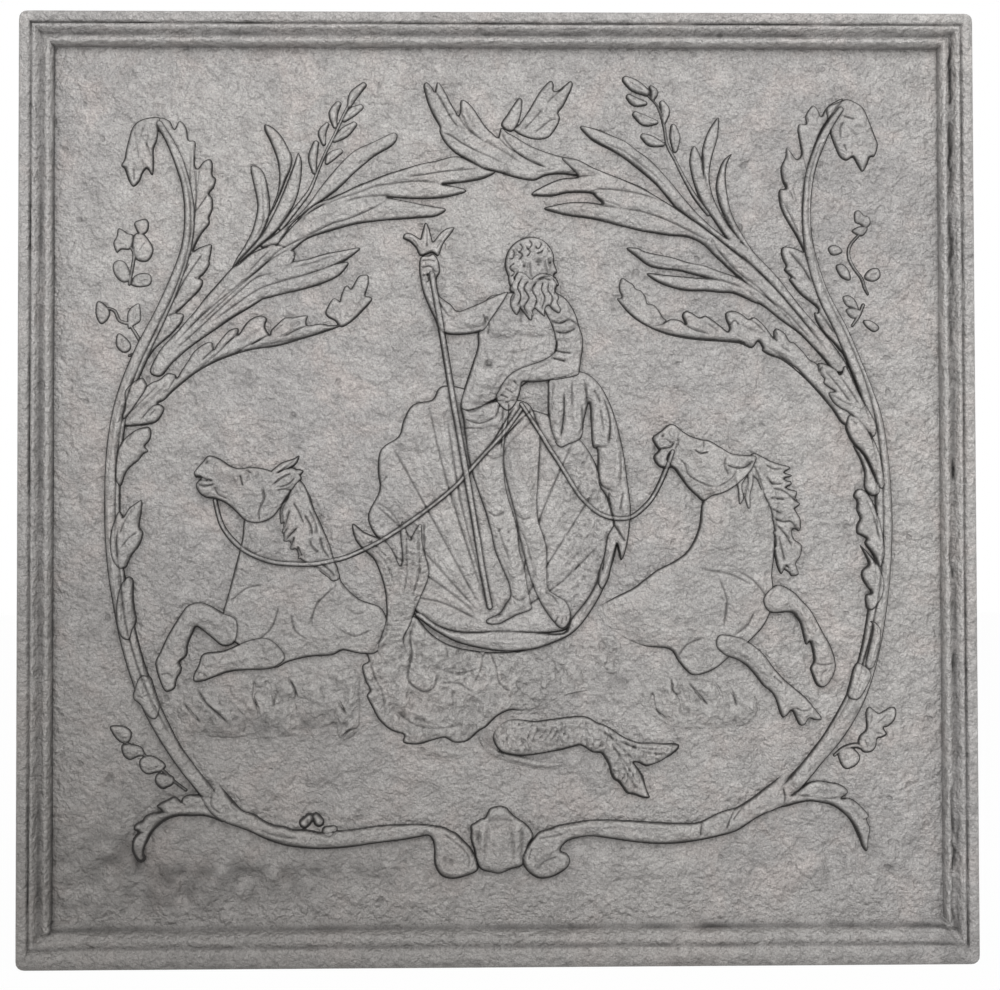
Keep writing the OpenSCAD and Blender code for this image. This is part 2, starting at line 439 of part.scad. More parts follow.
F_corner_l = [corner_leaf_h, 2, [
  [[-171, 97, 10], [-186, 100, 11], [-200, 99, 9], [-214, 93, 8], [-223, 83, 6], [-226, 74, 6], [-224, 68, 4]],
  [[-193, 102, 8], [-203, 103, 6], [-212, 101, 3]],
  [[-213, 93, 7], [-221, 91, 5], [-227, 87, 3]],
  [[-222, 65, 2], [-220, 60, 1]]]];
F_corner_r = [corner_leaf_h, 2, [
  [[173, 102, 9], [186, 106, 10], [198, 105, 8], [210, 101, 8], [220, 95, 9], [227, 87, 8], [230, 79, 5], [231, 70, 3]],
  [[191, 108, 7], [203, 110, 8], [213, 109, 7], [217, 107, 5]]]];
F_waves_l = [wave_h, 2, [
  [[-203, 150, 2], [-190, 158, 3], [-178, 160, 3], [-166, 165, 2]],
  [[-190, 142, 2], [-172, 148, 3], [-158, 158, 3], [-150, 172, 2]],
  [[-160, 142, 2], [-146, 152, 3], [-138, 164, 3], [-132, 178, 2]],
  [[-130, 144, 2], [-118, 154, 3], [-110, 168, 3], [-106, 182, 2]],
  [[-108, 144, 2], [-98, 152, 3], [-90, 160, 2]]]];
F_waves_r = [wave_h, 2, [
  [[60, 164, 2], [74, 162, 3], [86, 166, 3], [96, 176, 2]],
  [[96, 152, 2], [106, 158, 3], [112, 168, 3], [114, 178, 2]],
  [[118, 170, 2], [128, 164, 3], [140, 160, 2]],
  [[142, 176, 2], [148, 166, 3], [156, 158, 2]],
  [[124, 148, 2], [140, 144, 3], [158, 146, 3], [170, 152, 2]],
  [[4, 128, 3], [16, 126, 4], [26, 123, 4], [38, 123, 3]]]];

// front to back: each form is cut by those before it
FORMS = [F_staff, F_prongs, F_head, F_beard, F_arm_l, F_arm_r, F_rein_l, F_rein_r, F_torso, F_cloth,
  F_leg_l, F_leg_r, F_rim, F_horse_l_head, F_horse_l_mane, F_horse_l_legs, F_fluke_l, F_horse_l_body,
  F_horse_r_head, F_horse_r_mane, F_horse_r_legs, F_horse_r_body, F_tail_r, F_coils, F_shell,
  F_husks_l, F_husks_r, F_stem_l, F_stem_r, F_flower_l, F_flower_r, F_side_l, F_side_r, F_frond_l, F_frond_r,
  F_palm_l, F_palm_r, F_berries_l, F_berries_r, F_plume_l, F_plume_r, F_sprig_l, F_sprig_r,
  F_buds_l, F_buds_r, F_scroll_l, F_scroll_r, F_palmette, F_corner_l, F_corner_r, F_waves_l, F_waves_r];

// how far the drawing goes: half its width, its foot and its top
half_drawing = max([for (f = FORMS) max(-lo(f, 0), hi(f, 0))]);
drawing_foot = min([for (f = FORMS) lo(f, 1)]);
drawing_top = max([for (f = FORMS) hi(f, 1)]);
// the drawing fills the field up to its clear margins
room_w = plate_w / 2 - side_w - side_margin;
room_h = plate_h - side_w - foot_w - top_margin - foot_margin;
fit_k = min(room_w / half_drawing, room_h / (drawing_top - drawing_foot));
fit_z = foot_w + foot_margin + (room_h - (drawing_top - drawing_foot) * fit_k) / 2;

// ---- plate and border ----
module outline() {
  translate([-plate_w / 2 + corner_r, 0]) square([plate_w - 2 * corner_r, plate_h]);
  translate([-plate_w / 2, corner_r]) square([plate_w, plate_h - 2 * corner_r]);
  for (x = [-1, 1]) for (z = [corner_r, plate_h - corner_r])
    translate([x * (plate_w / 2 - corner_r), z]) circle(corner_r, $fn = 48);
}
side_profile = concat([[0, 0]], arc(edge_r, border_h - edge_r, edge_r, edge_r, 180, 90, 5),
  [[rim_w, border_h], [rim_w + 0.4 * groove_w, border_h - 1.2], [rim_w + groove_w, border_h - 1.5]],
  arc(rim_w + groove_w + bead_w / 2, border_h - 1.5, bead_w / 2, 1.3, 160, 20, 5),
  arc(rim_w + groove_w + bead_w + cove_w, border_h - 1.5, cove_w, cove_d, 180, 270, 6),
  arc(side_w - quirk_w - inner_bead_w / 2, border_h - 1.5 - cove_d, inner_bead_w / 2, 1.8, 170, 10, 6),
  [[side_w - quirk_w, 0.8], [side_w, 0]]);
foot_profile = concat([[0, 0]], arc(edge_r, border_h - edge_r, edge_r, edge_r, 180, 90, 5),
  [[foot_rim_w, border_h]],
  arc(foot_rim_w + foot_cove_w / 2, border_h - foot_drop, foot_cove_w / 2, 1.5, 200, 340, 6),
  arc(foot_rim_w + foot_cove_w + foot_bead_w / 2, border_h - foot_drop, foot_bead_w / 2, 1.8, 150, 20, 6),
  arc(foot_w, border_h - foot_drop, foot_slope_w, border_h - foot_drop, 190, 270, 5));
// a border length along +X with its outer edge on the X axis, rising along +Z
module moulding(profile, length) rotate([90, 0, 90])
  linear_extrude(length, center = true) polygon(profile);
module mitred(profile, length, depth, a, b) intersection() {
  moulding(profile, length);
  linear_extrude(reach) polygon([[-length / 2, 0], [length / 2, 0], [length / 2 - b, depth], [-length / 2 + a, depth]]);
}
module trimmed() intersection() { children(); translate([0, 0, 0]) linear_extrude(reach) outline(); }

module back_plate() color("#4b4b4b") translate([0, back_y, 0]) rotate([90, 0, 0]) linear_extrude(plate_t) outline();
module border_top() color("#5a5856") on_field() trimmed()
  translate([0, plate_h, 0]) rotate([0, 0, 180]) mitred(side_profile, plate_w, side_w, side_w, side_w);
module border_bottom() color("#5a5856") on_field() trimmed()
  mitred(foot_profile, plate_w, foot_w, side_w, side_w);
module border_left() color("#605e5b") on_field() trimmed()
  translate([-plate_w / 2, plate_h / 2, 0]) rotate([0, 0, -90]) mitred(side_profile, plate_h, side_w, side_w, foot_w);
module border_right() color("#605e5b") on_field() trimmed()
  translate([plate_w / 2, plate_h / 2, 0]) rotate([0, 0, 90]) mitred(side_profile, plate_h, side_w, foot_w, side_w);

module staff() color("#77736e") ornament(0);
module trident_head() color("#77736e") ornament(1);
module head() color("#8a8580") ornament(2);
module beard() color("#7d7873") ornament(3);
module arm_left() color("#8a8580") ornament(4);
module arm_right() color("#8a8580") ornament(5);
module rein_left() color("#6a6763") ornament(6);
module rein_right() color("#6a6763") ornament(7);
module torso() color("#85807b") ornament(8);
module drapery() color("#797570") ornament(9);
module leg_left() color("#85807b") ornament(10);
module leg_right() color("#85807b") ornament(11);
module chariot_rim() color("#74706b") ornament(12);
module horse_left_head() color("#807b76") ornament(13);
module horse_left_mane() color("#726e69") ornament(14);
module horse_left_legs() color("#807b76") ornament(15);
module tail_fluke_left() color("#76726d") ornament(16);
module horse_left_body() color("#7c7772") ornament(17);
module horse_right_head() color("#807b76") ornament(18);
module horse_right_mane() color("#726e69") ornament(19);
module horse_right_legs() color("#807b76") ornament(20);
module horse_right_body() color("#7c7772") ornament(21);
module tail_right() color("#76726d") ornament(22);
module coils() color("#6d6965") ornament(23);
// the shell's body: one scallop between each pair of rib tips
module shell_web() linear_extrude(0.6 * shell_h) polygon([for (i = [0:len(shell_tips) - 1])
  let (a = shell_tips[i], b = shell_tips[(i + 1) % len(shell_tips)], o = [-5, 218], m = o + ((a + b) / 2 - o) * 0.97,
       p = place([a[0], a[1], 0]), q = place([m[0], m[1], 0])) each [[p[0], p[1]], [q[0], q[1]]]]);
module shell() color("#696662") ornament(24) shell_web();
module husks_left() color("#7a7671") ornament(25);
module husks_right() color("#7a7671") ornament(26);
module stem_left() color("#726e6a") ornament(27);
module stem_right() color("#726e6a") ornament(28);
module flower_left() color("#75716c") ornament(29);
module flower_right() color("#75716c") ornament(30);
module side_leaf_left() color("#797570") ornament(31);
module side_leaf_right() color("#797570") ornament(32);
module frond_left() color("#6f6b67") ornament(33);
module frond_right() color("#6f6b67") ornament(34);
module palm_left() color("#716d69") ornament(35);
module palm_right() color("#716d69") ornament(36);
module berries_left() color("#6b6864") ornament(37);
module berries_right() color("#6b6864") ornament(38);
module plume_left() color("#686561") ornament(39);
module plume_right() color("#686561") ornament(40);
module sprig_left() color("#686561") ornament(41);
module sprig_right() color("#686561") ornament(42);
module buds_left() color("#6b6864") ornament(43);
module buds_right() color("#6b6864") ornament(44);
module scroll_left() color("#7c7772") ornament(45);
module scroll_right() color("#7c7772") ornament(46);
module palmette() color("#7e7974") ornament(47);
module corner_leaf_left() color("#777370") ornament(48);
module corner_leaf_right() color("#777370") ornament(49);
module waves_left() color("#63605d") ornament(50);
module waves_right() color("#63605d") ornament(51);

back_plate();
border_top();
border_bottom();
border_left();
border_right();
stem_left();
stem_right();
frond_left();
frond_right();
flower_left();
flower_right();
palm_left();
palm_right();
plume_left();
plume_right();
berries_left();
berries_right();
sprig_left();
sprig_right();
side_leaf_left();
side_leaf_right();
husks_left();
husks_right();
buds_left();
buds_right();
corner_leaf_left();
corner_leaf_right();
scroll_left();
scroll_right();
palmette();
shell();
chariot_rim();
head();
beard();
torso();
arm_left();
arm_right();
leg_left();
leg_right();
drapery();
staff();
trident_head();
rein_left();
rein_right();
horse_left_head();
horse_left_mane();
horse_left_body();
horse_left_legs();
horse_right_head();
horse_right_mane();
horse_right_body();
horse_right_legs();
tail_fluke_left();
tail_right();
coils();
waves_left();
waves_right();
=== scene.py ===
import math

import bmesh
import bpy
import numpy as np
from mathutils import Matrix, Vector


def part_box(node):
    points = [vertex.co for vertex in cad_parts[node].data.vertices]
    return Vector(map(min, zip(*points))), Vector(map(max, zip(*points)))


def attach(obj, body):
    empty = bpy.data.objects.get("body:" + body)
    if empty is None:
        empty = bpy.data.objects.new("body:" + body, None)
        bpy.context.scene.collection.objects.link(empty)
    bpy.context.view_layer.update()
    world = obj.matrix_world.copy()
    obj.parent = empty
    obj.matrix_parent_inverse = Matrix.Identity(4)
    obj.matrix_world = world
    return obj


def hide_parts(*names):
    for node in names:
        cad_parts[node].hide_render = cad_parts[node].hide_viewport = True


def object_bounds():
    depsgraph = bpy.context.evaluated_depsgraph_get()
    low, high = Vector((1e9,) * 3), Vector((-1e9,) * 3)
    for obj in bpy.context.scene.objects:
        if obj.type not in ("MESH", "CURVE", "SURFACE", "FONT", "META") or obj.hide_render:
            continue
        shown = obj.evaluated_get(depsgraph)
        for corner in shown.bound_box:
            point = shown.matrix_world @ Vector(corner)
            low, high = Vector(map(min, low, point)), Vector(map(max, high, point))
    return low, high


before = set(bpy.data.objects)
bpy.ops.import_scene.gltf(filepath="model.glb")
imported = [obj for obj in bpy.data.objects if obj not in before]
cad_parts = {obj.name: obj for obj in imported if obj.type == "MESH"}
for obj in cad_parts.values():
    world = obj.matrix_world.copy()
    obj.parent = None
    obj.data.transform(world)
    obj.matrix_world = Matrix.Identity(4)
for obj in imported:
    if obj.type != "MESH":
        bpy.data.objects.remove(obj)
cadLow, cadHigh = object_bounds()
print("frame loaded")

mm = 0.001
plateLow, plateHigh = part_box("back_plate")
fieldY = plateLow.y                      # the field's front face
plateWide = (plateHigh.x - plateLow.x) / mm
plateTall = (plateHigh.z - plateLow.z) / mm
borderRise = (fieldY - cadLow.y) / mm    # how far the border stands over the field

# how the camera sees it, in metres and degrees
camera = {
    "lens": 70,
    "sensor": 36,
    "reach": (0.05, 30),
    "place": (-0.026, -1.226, 0.264),
    "turn": -1.25,
    "tilt": 1.41,
    "roll": 0.13,
}
camData = bpy.data.cameras.new("camera")
camData.lens = camera["lens"]
camData.sensor_width = camera["sensor"]
camData.clip_start, camData.clip_end = camera["reach"]
camObject = bpy.data.objects.new("camera", camData)
bpy.context.scene.collection.objects.link(camObject)
camObject.matrix_world = (
    Matrix.Translation(camera["place"])
    @ Matrix.Rotation(math.radians(camera["turn"]), 4, "Z")
    @ Matrix.Rotation(math.radians(90 + camera["tilt"]), 4, "X")
    @ Matrix.Rotation(math.radians(-camera["roll"]), 4, "Z")
)
bpy.context.scene.camera = camObject
bpy.context.scene.view_settings.view_transform = "Standard"

# carving: heights on one lattice over the plate, in mm
lattice = {
    "cell": 0.6,       # between two carved points
    "margin": 3,       # room round an ornament's own points
    "lip": 0.9,        # an ornament's edge over whatever it lies on
    "lipWidth": 1.1,   # the width in which that edge rises
    "relief": 0.62,    # how high the carving is left, of the pattern's full height
    "brow": 0.6,       # the share of it that stands at the steep edge
    "browWidth": 1.5,
    "thin": (0.7, 1.5),        # a bar is no higher than this share of its width and this more
    "level": 0.8,              # marks have their full size this far inside an outline
    "softLevel": 6,            # and this far in where a form has no edge
    "softSink": (0.9, 2.5),    # how deep and how wide such a form's rim sinks
    "faded": 0.12,     # what still stands where an ornament has died away
    "fall": 1.2,       # how steeply it falls outside the outline
    "skirt": 1.3,      # carved on past the outline, hidden in what lies under it
    "buried": 2.2,     # points this far under later ornaments are left out
    "root": 1.5,       # how deep an ornament is sunk in the plate
    "headroom": 0.3,   # nothing stands higher than this under the border's top
    "steps": 4,        # points drawn for each one given
    "thinnest": 0.4,
}
cell = lattice["cell"]
ceiling = borderRise - lattice["headroom"]
latticeWide = int(plateWide / cell) + 1
latticeTall = int(plateTall / cell) + 1
ground = np.zeros((latticeTall, latticeWide))    # the relief so far, rows up, columns right
latticeX = -plateWide / 2 + cell * np.arange(latticeWide)
latticeZ = cell * np.arange(latticeTall)


def readPoints(text):
    return np.array([[float(n) for n in point.split(",")] for point in text.split()])


# a smooth line through the points
def flowing(points, closed=False):
    count, steps = len(points), lattice["steps"]
    out = []
    for i in range(count if closed else count - 1):
        if closed:
            a, b, c, d = (points[(i + k) % count] for k in (-1, 0, 1, 2))
        else:
            a, b, c, d = (points[min(max(i + k, 0), count - 1)] for k in (-1, 0, 1, 2))
        for j in range(steps):
            t = j / steps
            bend, turn = 2 * a - 5 * b + 4 * c - d, 3 * b - a - 3 * c + d
            out.append((2 * b + (c - a) * t + bend * t**2 + turn * t**3) / 2)
    if not closed:
        out.append(points[-1])
    return np.array(out)


# distance to a line of x, z and sometimes width, how far along it, and the width there
def fromLine(x, z, line):
    best = np.full(x.shape, 1e9)
    along = np.zeros(x.shape)
    wide = np.zeros(x.shape)
    lengths = np.hypot(*np.diff(line[:, :2], axis=0).T)
    total = max(lengths.sum(), 1e-6)
    gone = 0
    for a, b, span in zip(line[:-1], line[1:], lengths):
        if span < 1e-6:
            continue
        dx, dz = (b[0] - a[0]) / span, (b[1] - a[1]) / span
        t = np.clip((x - a[0]) * dx + (z - a[1]) * dz, 0, span)
        width = a[2] + (b[2] - a[2]) * t / span if len(a) > 2 else 0
        off = np.hypot(x - a[0] - dx * t, z - a[1] - dz * t) - width / 2
        nearer = off < best
        best = np.where(nearer, off, best)
        along = np.where(nearer, (gone + t) / total, along)
        wide = np.where(nearer, width, wide)
        gone += span
    return best, along, wide


# depth inside a closed outline, negative outside it
def inOutline(x, z, outline):
    best = np.full(x.shape, 1e9)
    inside = np.zeros(x.shape, bool)
    for a, b in zip(outline, np.roll(outline, -1, axis=0)):
        span = math.hypot(b[0] - a[0], b[1] - a[1])
        if span < 1e-6:
            continue
        dx, dz = (b[0] - a[0]) / span, (b[1] - a[1]) / span
        t = np.clip((x - a[0]) * dx + (z - a[1]) * dz, 0, span)
        best = np.minimum(best, np.hypot(x - a[0] - dx * t, z - a[1] - dz * t))
        if a[1] != b[1]:
            crosses = (a[1] > z) != (b[1] > z)
            inside ^= crosses & (x < (b[0] - a[0]) * (z - a[1]) / (b[1] - a[1]) + a[0])
    return np.where(inside, best, -best)


def swelling(depth, roll):
    return np.sin(np.clip(depth / roll, -1, 1) * math.pi / 2)


# low relief: a steep edge, then a nearly flat face
def lowRelief(height, depth, roll):
    brow = lattice["brow"]
    steep = swelling(depth, np.minimum(lattice["browWidth"], roll))
    return height * lattice["relief"] * (brow * steep + (1 - brow) * swelling(depth, roll))


# rounded chance lumps, about pitch mm apart, -0.5 to 0.5
chance = {"cells": 61, "offset": 700}    # the size of its table, and where the table starts


def lumpy(x, z, pitch, seed=3):
    count = chance["cells"]
    table = np.random.default_rng(seed).random((count, count))
    u, v = (x + chance["offset"]) / pitch, (z + chance["offset"]) / pitch
    i, j = np.floor(u).astype(int), np.floor(v).astype(int)
    u, v = u - i, v - j
    u, v = u * u * (3 - 2 * u), v * v * (3 - 2 * v)
    at = lambda a, b: table[(i + a) % count, (j + b) % count]
    return (at(0, 0) * (1 - u) + at(1, 0) * u) * (1 - v) + (at(0, 1) * (1 - u) + at(1, 1) * u) * v - 0.5


# the height at any points, read from the lattice
def sampled(heights, x, z):
    col = np.clip((x + plateWide / 2) / cell, 0, latticeWide - 1.001)
    row = np.clip(z / cell, 0, latticeTall - 1.001)
    i, j = row.astype(int), col.astype(int)
    u, v = row - i, col - j
    return ((heights[i, j] * (1 - v) + heights[i, j + 1] * v) * (1 - u)
            + (heights[i + 1, j] * (1 - v) + heights[i + 1, j + 1] * v) * u)


# the marks' own sizes, in mm or as shares
marking = {
    "ends": (6, 0.3),             # how quickly a line reaches its size, and what it starts with
    "rowLength": 0.55,            # a row of scales, of their pitch
    "drift": (0.8, 7),            # how far the rows wander, and over what length
    "scaleShape": (1.15, 1.1, 0.7, 0.3),    # a scale's reach, length, roundness and rim
    "uneven": (1.6, 9),           # how some scales stand out more than others
    "finer": (0.5, 2.2),          # the smaller lumps of a rough face: their size and pitch
}


# one ornament: its forms are raised, then its marks are cut or swelled
class Carving:
    def __init__(self, name, slot, forms, marks=(), fine=1, lip=1.0, soft=False, creaseDirt=1.0, fade=""):
        self.name, self.slot, self.fine, self.creaseDirt = name, slot, fine, creaseDirt
        self.setWindow(forms)
        rise = self.raiseForms(forms, soft)
        under = np.maximum(sampled(ground, self.x, self.z), 0)
        edge = lip * lattice["lip"] * swelling(self.depth, lattice["lipWidth"])
        share = self.standing(fade)
        self.edge = 0 if soft else share
        raised = np.maximum(rise, under + edge) - under
        if soft:    # it comes out of the field with no edge
            sink, rim = lattice["softSink"]
            raised = np.maximum(rise, 0) - sink * np.exp(-((self.depth / rim) ** 2))
        shown = under + raised * share + lattice["faded"] * (1 - share)
        self.height = np.where(self.depth > 0, shown, under + self.depth * lattice["fall"])
        self.inside = np.clip(self.depth / lattice["softLevel" if soft else "level"], 0, 1)
        for mark in marks:
            self.addMark(*mark)
        over = self.height - ceiling + 1
        self.height = np.where(over > 0, ceiling - np.exp(-over), self.height)
        seen = self.depth[::fine, ::fine] > 0
        top = np.maximum(self.height[::fine, ::fine], 0)
        ground[self.window] = np.where(seen, top, ground[self.window])
        print("carved", name)

    # the part of the lattice that the forms cover
    def setWindow(self, forms):
        reach = []
        for form in forms:
            points = np.vstack([readPoints(part) for part in form[3].split(";")])
            half = points[:, 2:3] / 2 if points.shape[1] > 2 else 0
            reach += [points[:, :2] - half, points[:, :2] + half]
        reach = np.vstack(reach)
        low, high = reach.min(axis=0) - lattice["margin"], reach.max(axis=0) + lattice["margin"]
        left = max(int((low[0] + plateWide / 2) / cell), 0)
        right = min(int((high[0] + plateWide / 2) / cell) + 1, latticeWide - 1)
        foot = max(int(low[1] / cell), 0)
        top = min(int(high[1] / cell) + 1, latticeTall - 1)
        self.window = (slice(foot, top + 1), slice(left, right + 1))
        self.x, self.z = np.meshgrid(
            np.linspace(latticeX[left], latticeX[right], (right - left) * self.fine + 1),
            np.linspace(latticeZ[foot], latticeZ[top], (top - foot) * self.fine + 1))

    def raiseForms(self, forms, soft):
        rise = np.full(self.x.shape, -9.0)
        self.depth = rise
        for kind, height, roll, text in forms:
            for part in text.split(";"):
                points = readPoints(part)
                if kind == "mass":
                    depth = inOutline(self.x, self.z, flowing(points, True))
                    shape = height * swelling(depth, roll) if soft else lowRelief(height, depth, roll)
                else:
                    off, _, wide = fromLine(self.x, self.z, flowing(points))
                    depth = -off
                    full = np.minimum(height, lattice["thin"][0] * wide + lattice["thin"][1])
                    shape = lowRelief(full, depth, np.maximum(wide / 2 * roll, lattice["thinnest"]))
                rise = np.maximum(rise, shape)
                self.depth = np.maximum(self.depth, depth)
        return rise

    # 1 where it stands out, 0 where it has died away at the line's end
    def standing(self, fade):
        if not fade:
            return np.ones(self.x.shape)
        a, b = readPoints(fade)
        along = (self.x - a[0]) * (b[0] - a[0]) + (self.z - a[1]) * (b[1] - a[1])
        t = np.clip(along / ((b - a) ** 2).sum(), 0, 1)
        return 1 - t * t * (3 - 2 * t)

    # negative sizes cut, positive ones swell
    def addMark(self, kind, size, width, text):
        for part in text.split(";"):
            points = readPoints(part) if part else None
            if kind == "line":
                off, along, _ = fromLine(self.x, self.z, flowing(points))
                grow, start = marking["ends"]
                ends = np.clip(np.minimum(along, 1 - along) * grow + start, 0, 1)
                shape = np.exp(-((off / width * 2) ** 2)) * ends
            elif kind == "spot":
                off = np.min([np.hypot(self.x - q[0], self.z - q[1]) for q in points], axis=0)
                shape = np.exp(-((off / width * 2) ** 2))
            elif kind == "scales":    # width is the pitch, the line its way
                shape = self.scaly(points[-1] - points[0], width)
            elif kind == "rough":    # width is the pitch, all over or in an outline
                share, finer = marking["finer"]
                shape = lumpy(self.x, self.z, width) + share * lumpy(self.x, self.z, width / finer, 8)
                if text:
                    inside = inOutline(self.x, self.z, flowing(points, True))
                    shape = shape * np.clip(inside / width, 0, 1)
            else:    # an area that swells as a whole
                shape = swelling(np.maximum(inOutline(self.x, self.z, flowing(points, True)), 0), width)
            self.height = self.height + size * shape * self.inside

    # rows of overlapping scales that run one way
    def scaly(self, way, pitch):
        x, z, turn = self.x, self.z, math.atan2(way[1], way[0])
        drift, length = marking["drift"]
        u = (x * math.cos(turn) + z * math.sin(turn)) / pitch + drift * lumpy(x, z, length, 6)
        v = (z * math.cos(turn) - x * math.sin(turn)) / pitch + drift * lumpy(x, z, length, 7)
        row = np.floor(u / marking["rowLength"])
        across = (v + row % 2 * 0.5) % 1 - 0.5
        reach, long, power, rim = marking["scaleShape"]
        off = np.hypot(2 * across, long * (1 - (u / marking["rowLength"] - row)))
        more, spread = marking["uneven"]
        return (np.clip(reach - off, 0, 1) ** power - rim) * (1 + more * lumpy(x, z, spread, 5))


def addPiece(name, bm, slotName):
    mesh = bpy.data.meshes.new(name + "_cast")
    bm.to_mesh(mesh)
    bm.free()
    mesh.polygons.foreach_set("use_smooth", [True] * len(mesh.polygons))
    mesh.materials.append(materials[slotName])
    piece = bpy.data.objects.new(name + "_cast", mesh)
    bpy.context.scene.collection.objects.link(piece)
    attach(piece, "root")
    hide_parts(name)


# soft average over sigma mm
def blurred(heights, sigma):
    taps = int(3 * sigma / cell) + 1
    weights = np.exp(-0.5 * (np.arange(-taps, taps + 1) * cell / sigma) ** 2)
    weights /= weights.sum()
    for axis in (0, 1):
        padded = np.pad(heights, [(taps, taps) if a == axis else (0, 0) for a in (0, 1)], mode="edge")
        size = heights.shape[axis]
        heights = sum(w * np.take(padded, range(k, k + size), axis=axis) for k, w in enumerate(weights))
    return heights


carvings = []


# forms are kind, height, roll and points, and marks are kind, size, width and points, all in mm
# points are x,z from the plate's middle and foot, a bar's also have its width there
def carve(name, slot, forms, marks=(), **more):
    carvings.append(Carving(name, slot, forms, marks, **more))


# the pieces, from the back of the relief to its front
sea = {"wave": 1, "lump": 3.6, "curl": -2}
carve("waves_left", "sea_iron", [
    ("mass", sea["wave"], 9,
     "-203,160 -200,152 -192,144 -176,141 -158,142 -140,140 -124,142 -108,143 -98,139 -90,143 -86,150 "
     "-86,168 -86,182 -92,188 -104,186 -116,186 -130,182 -146,182 -160,182 -174,178 -186,176 -196,172"),
], [
    ("rough", sea["lump"], 8, ""),
    ("rough", 0.7, 3.6, ""),
    ("line", sea["curl"], 1.5,
     "-110,188 -106,174 -100,164 -96,157;-134,182 -128,173 -127,163;-147,179 -142,170 -141,162;"
     "-154,180 -153,172 -154,168 -151,160 -150,152;-190,176 -184,165 -174,156 -170,152;"
     "-202,170 -194,160 -187,152;-170,172 -166,162 -160,156;-124,159 -117,154 -112,155;"
     "-102,146 -99,142 -94,147 -84,149"),
    ("line", 1.1, 6,
     "-120,184 -116,172 -110,162 -106,150;-138,178 -134,168 -134,156;-190,166 -180,160 -172,150;"
     "-158,174 -150,168 -148,156;-93,184 -92,172 -94,160"),
], soft=True, creaseDirt=0.8)
rightSea = (
    "84,182 88,172 86,164 92,156 100,150 110,146 122,145 136,145 150,146 162,150 168,158 164,168 "
    "154,174 142,178 128,180 114,180 100,184 92,186")
carve("waves_right", "sea_iron", [
    ("mass", sea["wave"], 9, rightSea),
    ("bar", 2.4, 1, "-12,141,4 -8,136,5 0,131,5 12,128,5 26,125,5 38,125,3"),
    ("mass", 0.8, 6, "-49,134 -48,130 -42,129 -30,128 -22,130 -24,136 -34,138 -44,138"),
], [
    ("rough", sea["lump"], 8, rightSea),
    ("rough", 0.7, 3.6, ""),
    ("line", sea["curl"], 1.4,
     "101,184 108,178 109,171 114,166 115,158;119,176 124,170 131,162;134,178 139,170 140,160;"
     "141,178 146,171 149,162;154,176 161,168 163,158 160,152;96,170 98,160 104,154;"
     "-8,142 -7,134 2,130 12,126 26,122 38,122"),
    ("line", 1.1, 6,
     "94,178 104,172 112,162;120,178 130,170 142,166;146,172 154,164 160,158;100,162 112,154 124,152"),
], soft=True, creaseDirt=0.8)

corner = {"height": 6.5, "roll": 4}
carve("corner_leaf_left", "wreath_iron", [
    ("mass", corner["height"], corner["roll"],
     "-168,95 -172,102 -182,106 -190,107 -195,107 -198,105 -199,103 -203,106 -208,104 -212,102 -214,100 "
     "-211,97 -216,96 -221,94 -223,91 -227,89 -228,86 -225,84 -228,80 -229,75 -228,70 -225,66 -222,67 "
     "-222,72 -220,78 -217,84 -212,89 -207,92 -200,94 -192,94 -185,94 -178,92 -172,90"),
], [
    ("line", -1.4, 2.2, "-166,87 -174,91 -182,94 -192,95 -201,95 -208,93 -214,88 -219,81 -221,74"),
    ("line", -0.7, 3, "-180,100 -192,100 -204,99;-213,92 -219,86 -224,77"),
    ("line", -0.9, 1.3, "-199,103 -196,101;-211,97 -206,96;-225,84 -222,84"),
], lip=1.2)
carve("corner_leaf_right", "wreath_iron", [
    ("mass", corner["height"], corner["roll"],
     "162,92 170,96 180,98 188,100 195,101 203,100 210,98 217,93 222,87 226,79 228,73 231,70 232,78 "
     "233,84 231,89 232,92 229,96 225,100 220,103 215,103 219,106 218,109 213,112 207,113 201,114 "
     "195,113 190,110 186,107 182,105 172,106 166,101"),
], [
    ("line", -1.4, 2.2, "168,95 178,98 188,101 196,102 204,101 211,98 218,92 223,85 228,76"),
    ("line", -0.9, 1.3, "184,106 190,105 197,104 206,103 214,104;228,90 232,90"),
    ("line", -0.6, 3, "186,103 200,107 214,107;222,97 228,88"),
], lip=1.2)

palmette = {"height": 8, "lobe": 0.8}
carve("palmette", "wreath_iron", [
    ("mass", palmette["height"], 10,
     "-18,87 -15,89 -12,91 -9,92 -7,96 -5,98 0,99 4,98 6,96 9,93 12,91 15,89 19,85 21,80 18,75 16,68 "
     "14,62 8,60 0,57 -6,58 -12,60 -15,66 -16,72 -18,78 -18,83"),
], [
    ("line", -1, 3, "-9,90 -3,91 3,91 9,90"),
    ("line", -0.8, 3, "-7,88 -9,76 -10,64;7,88 8,76 9,64;-13,84 -14,74 -13,66;14,84 14,74 13,66"),
    ("line", palmette["lobe"], 4, "-1,86 -1,66;-11,86 -12,72;11,86 11,72;-6,95 0,96 6,94"),
    ("spot", -1.1, 5, "-14,80 14,83"),
    ("line", -1, 3, "-9,60 0,59 9,61"),
], lip=1.2)

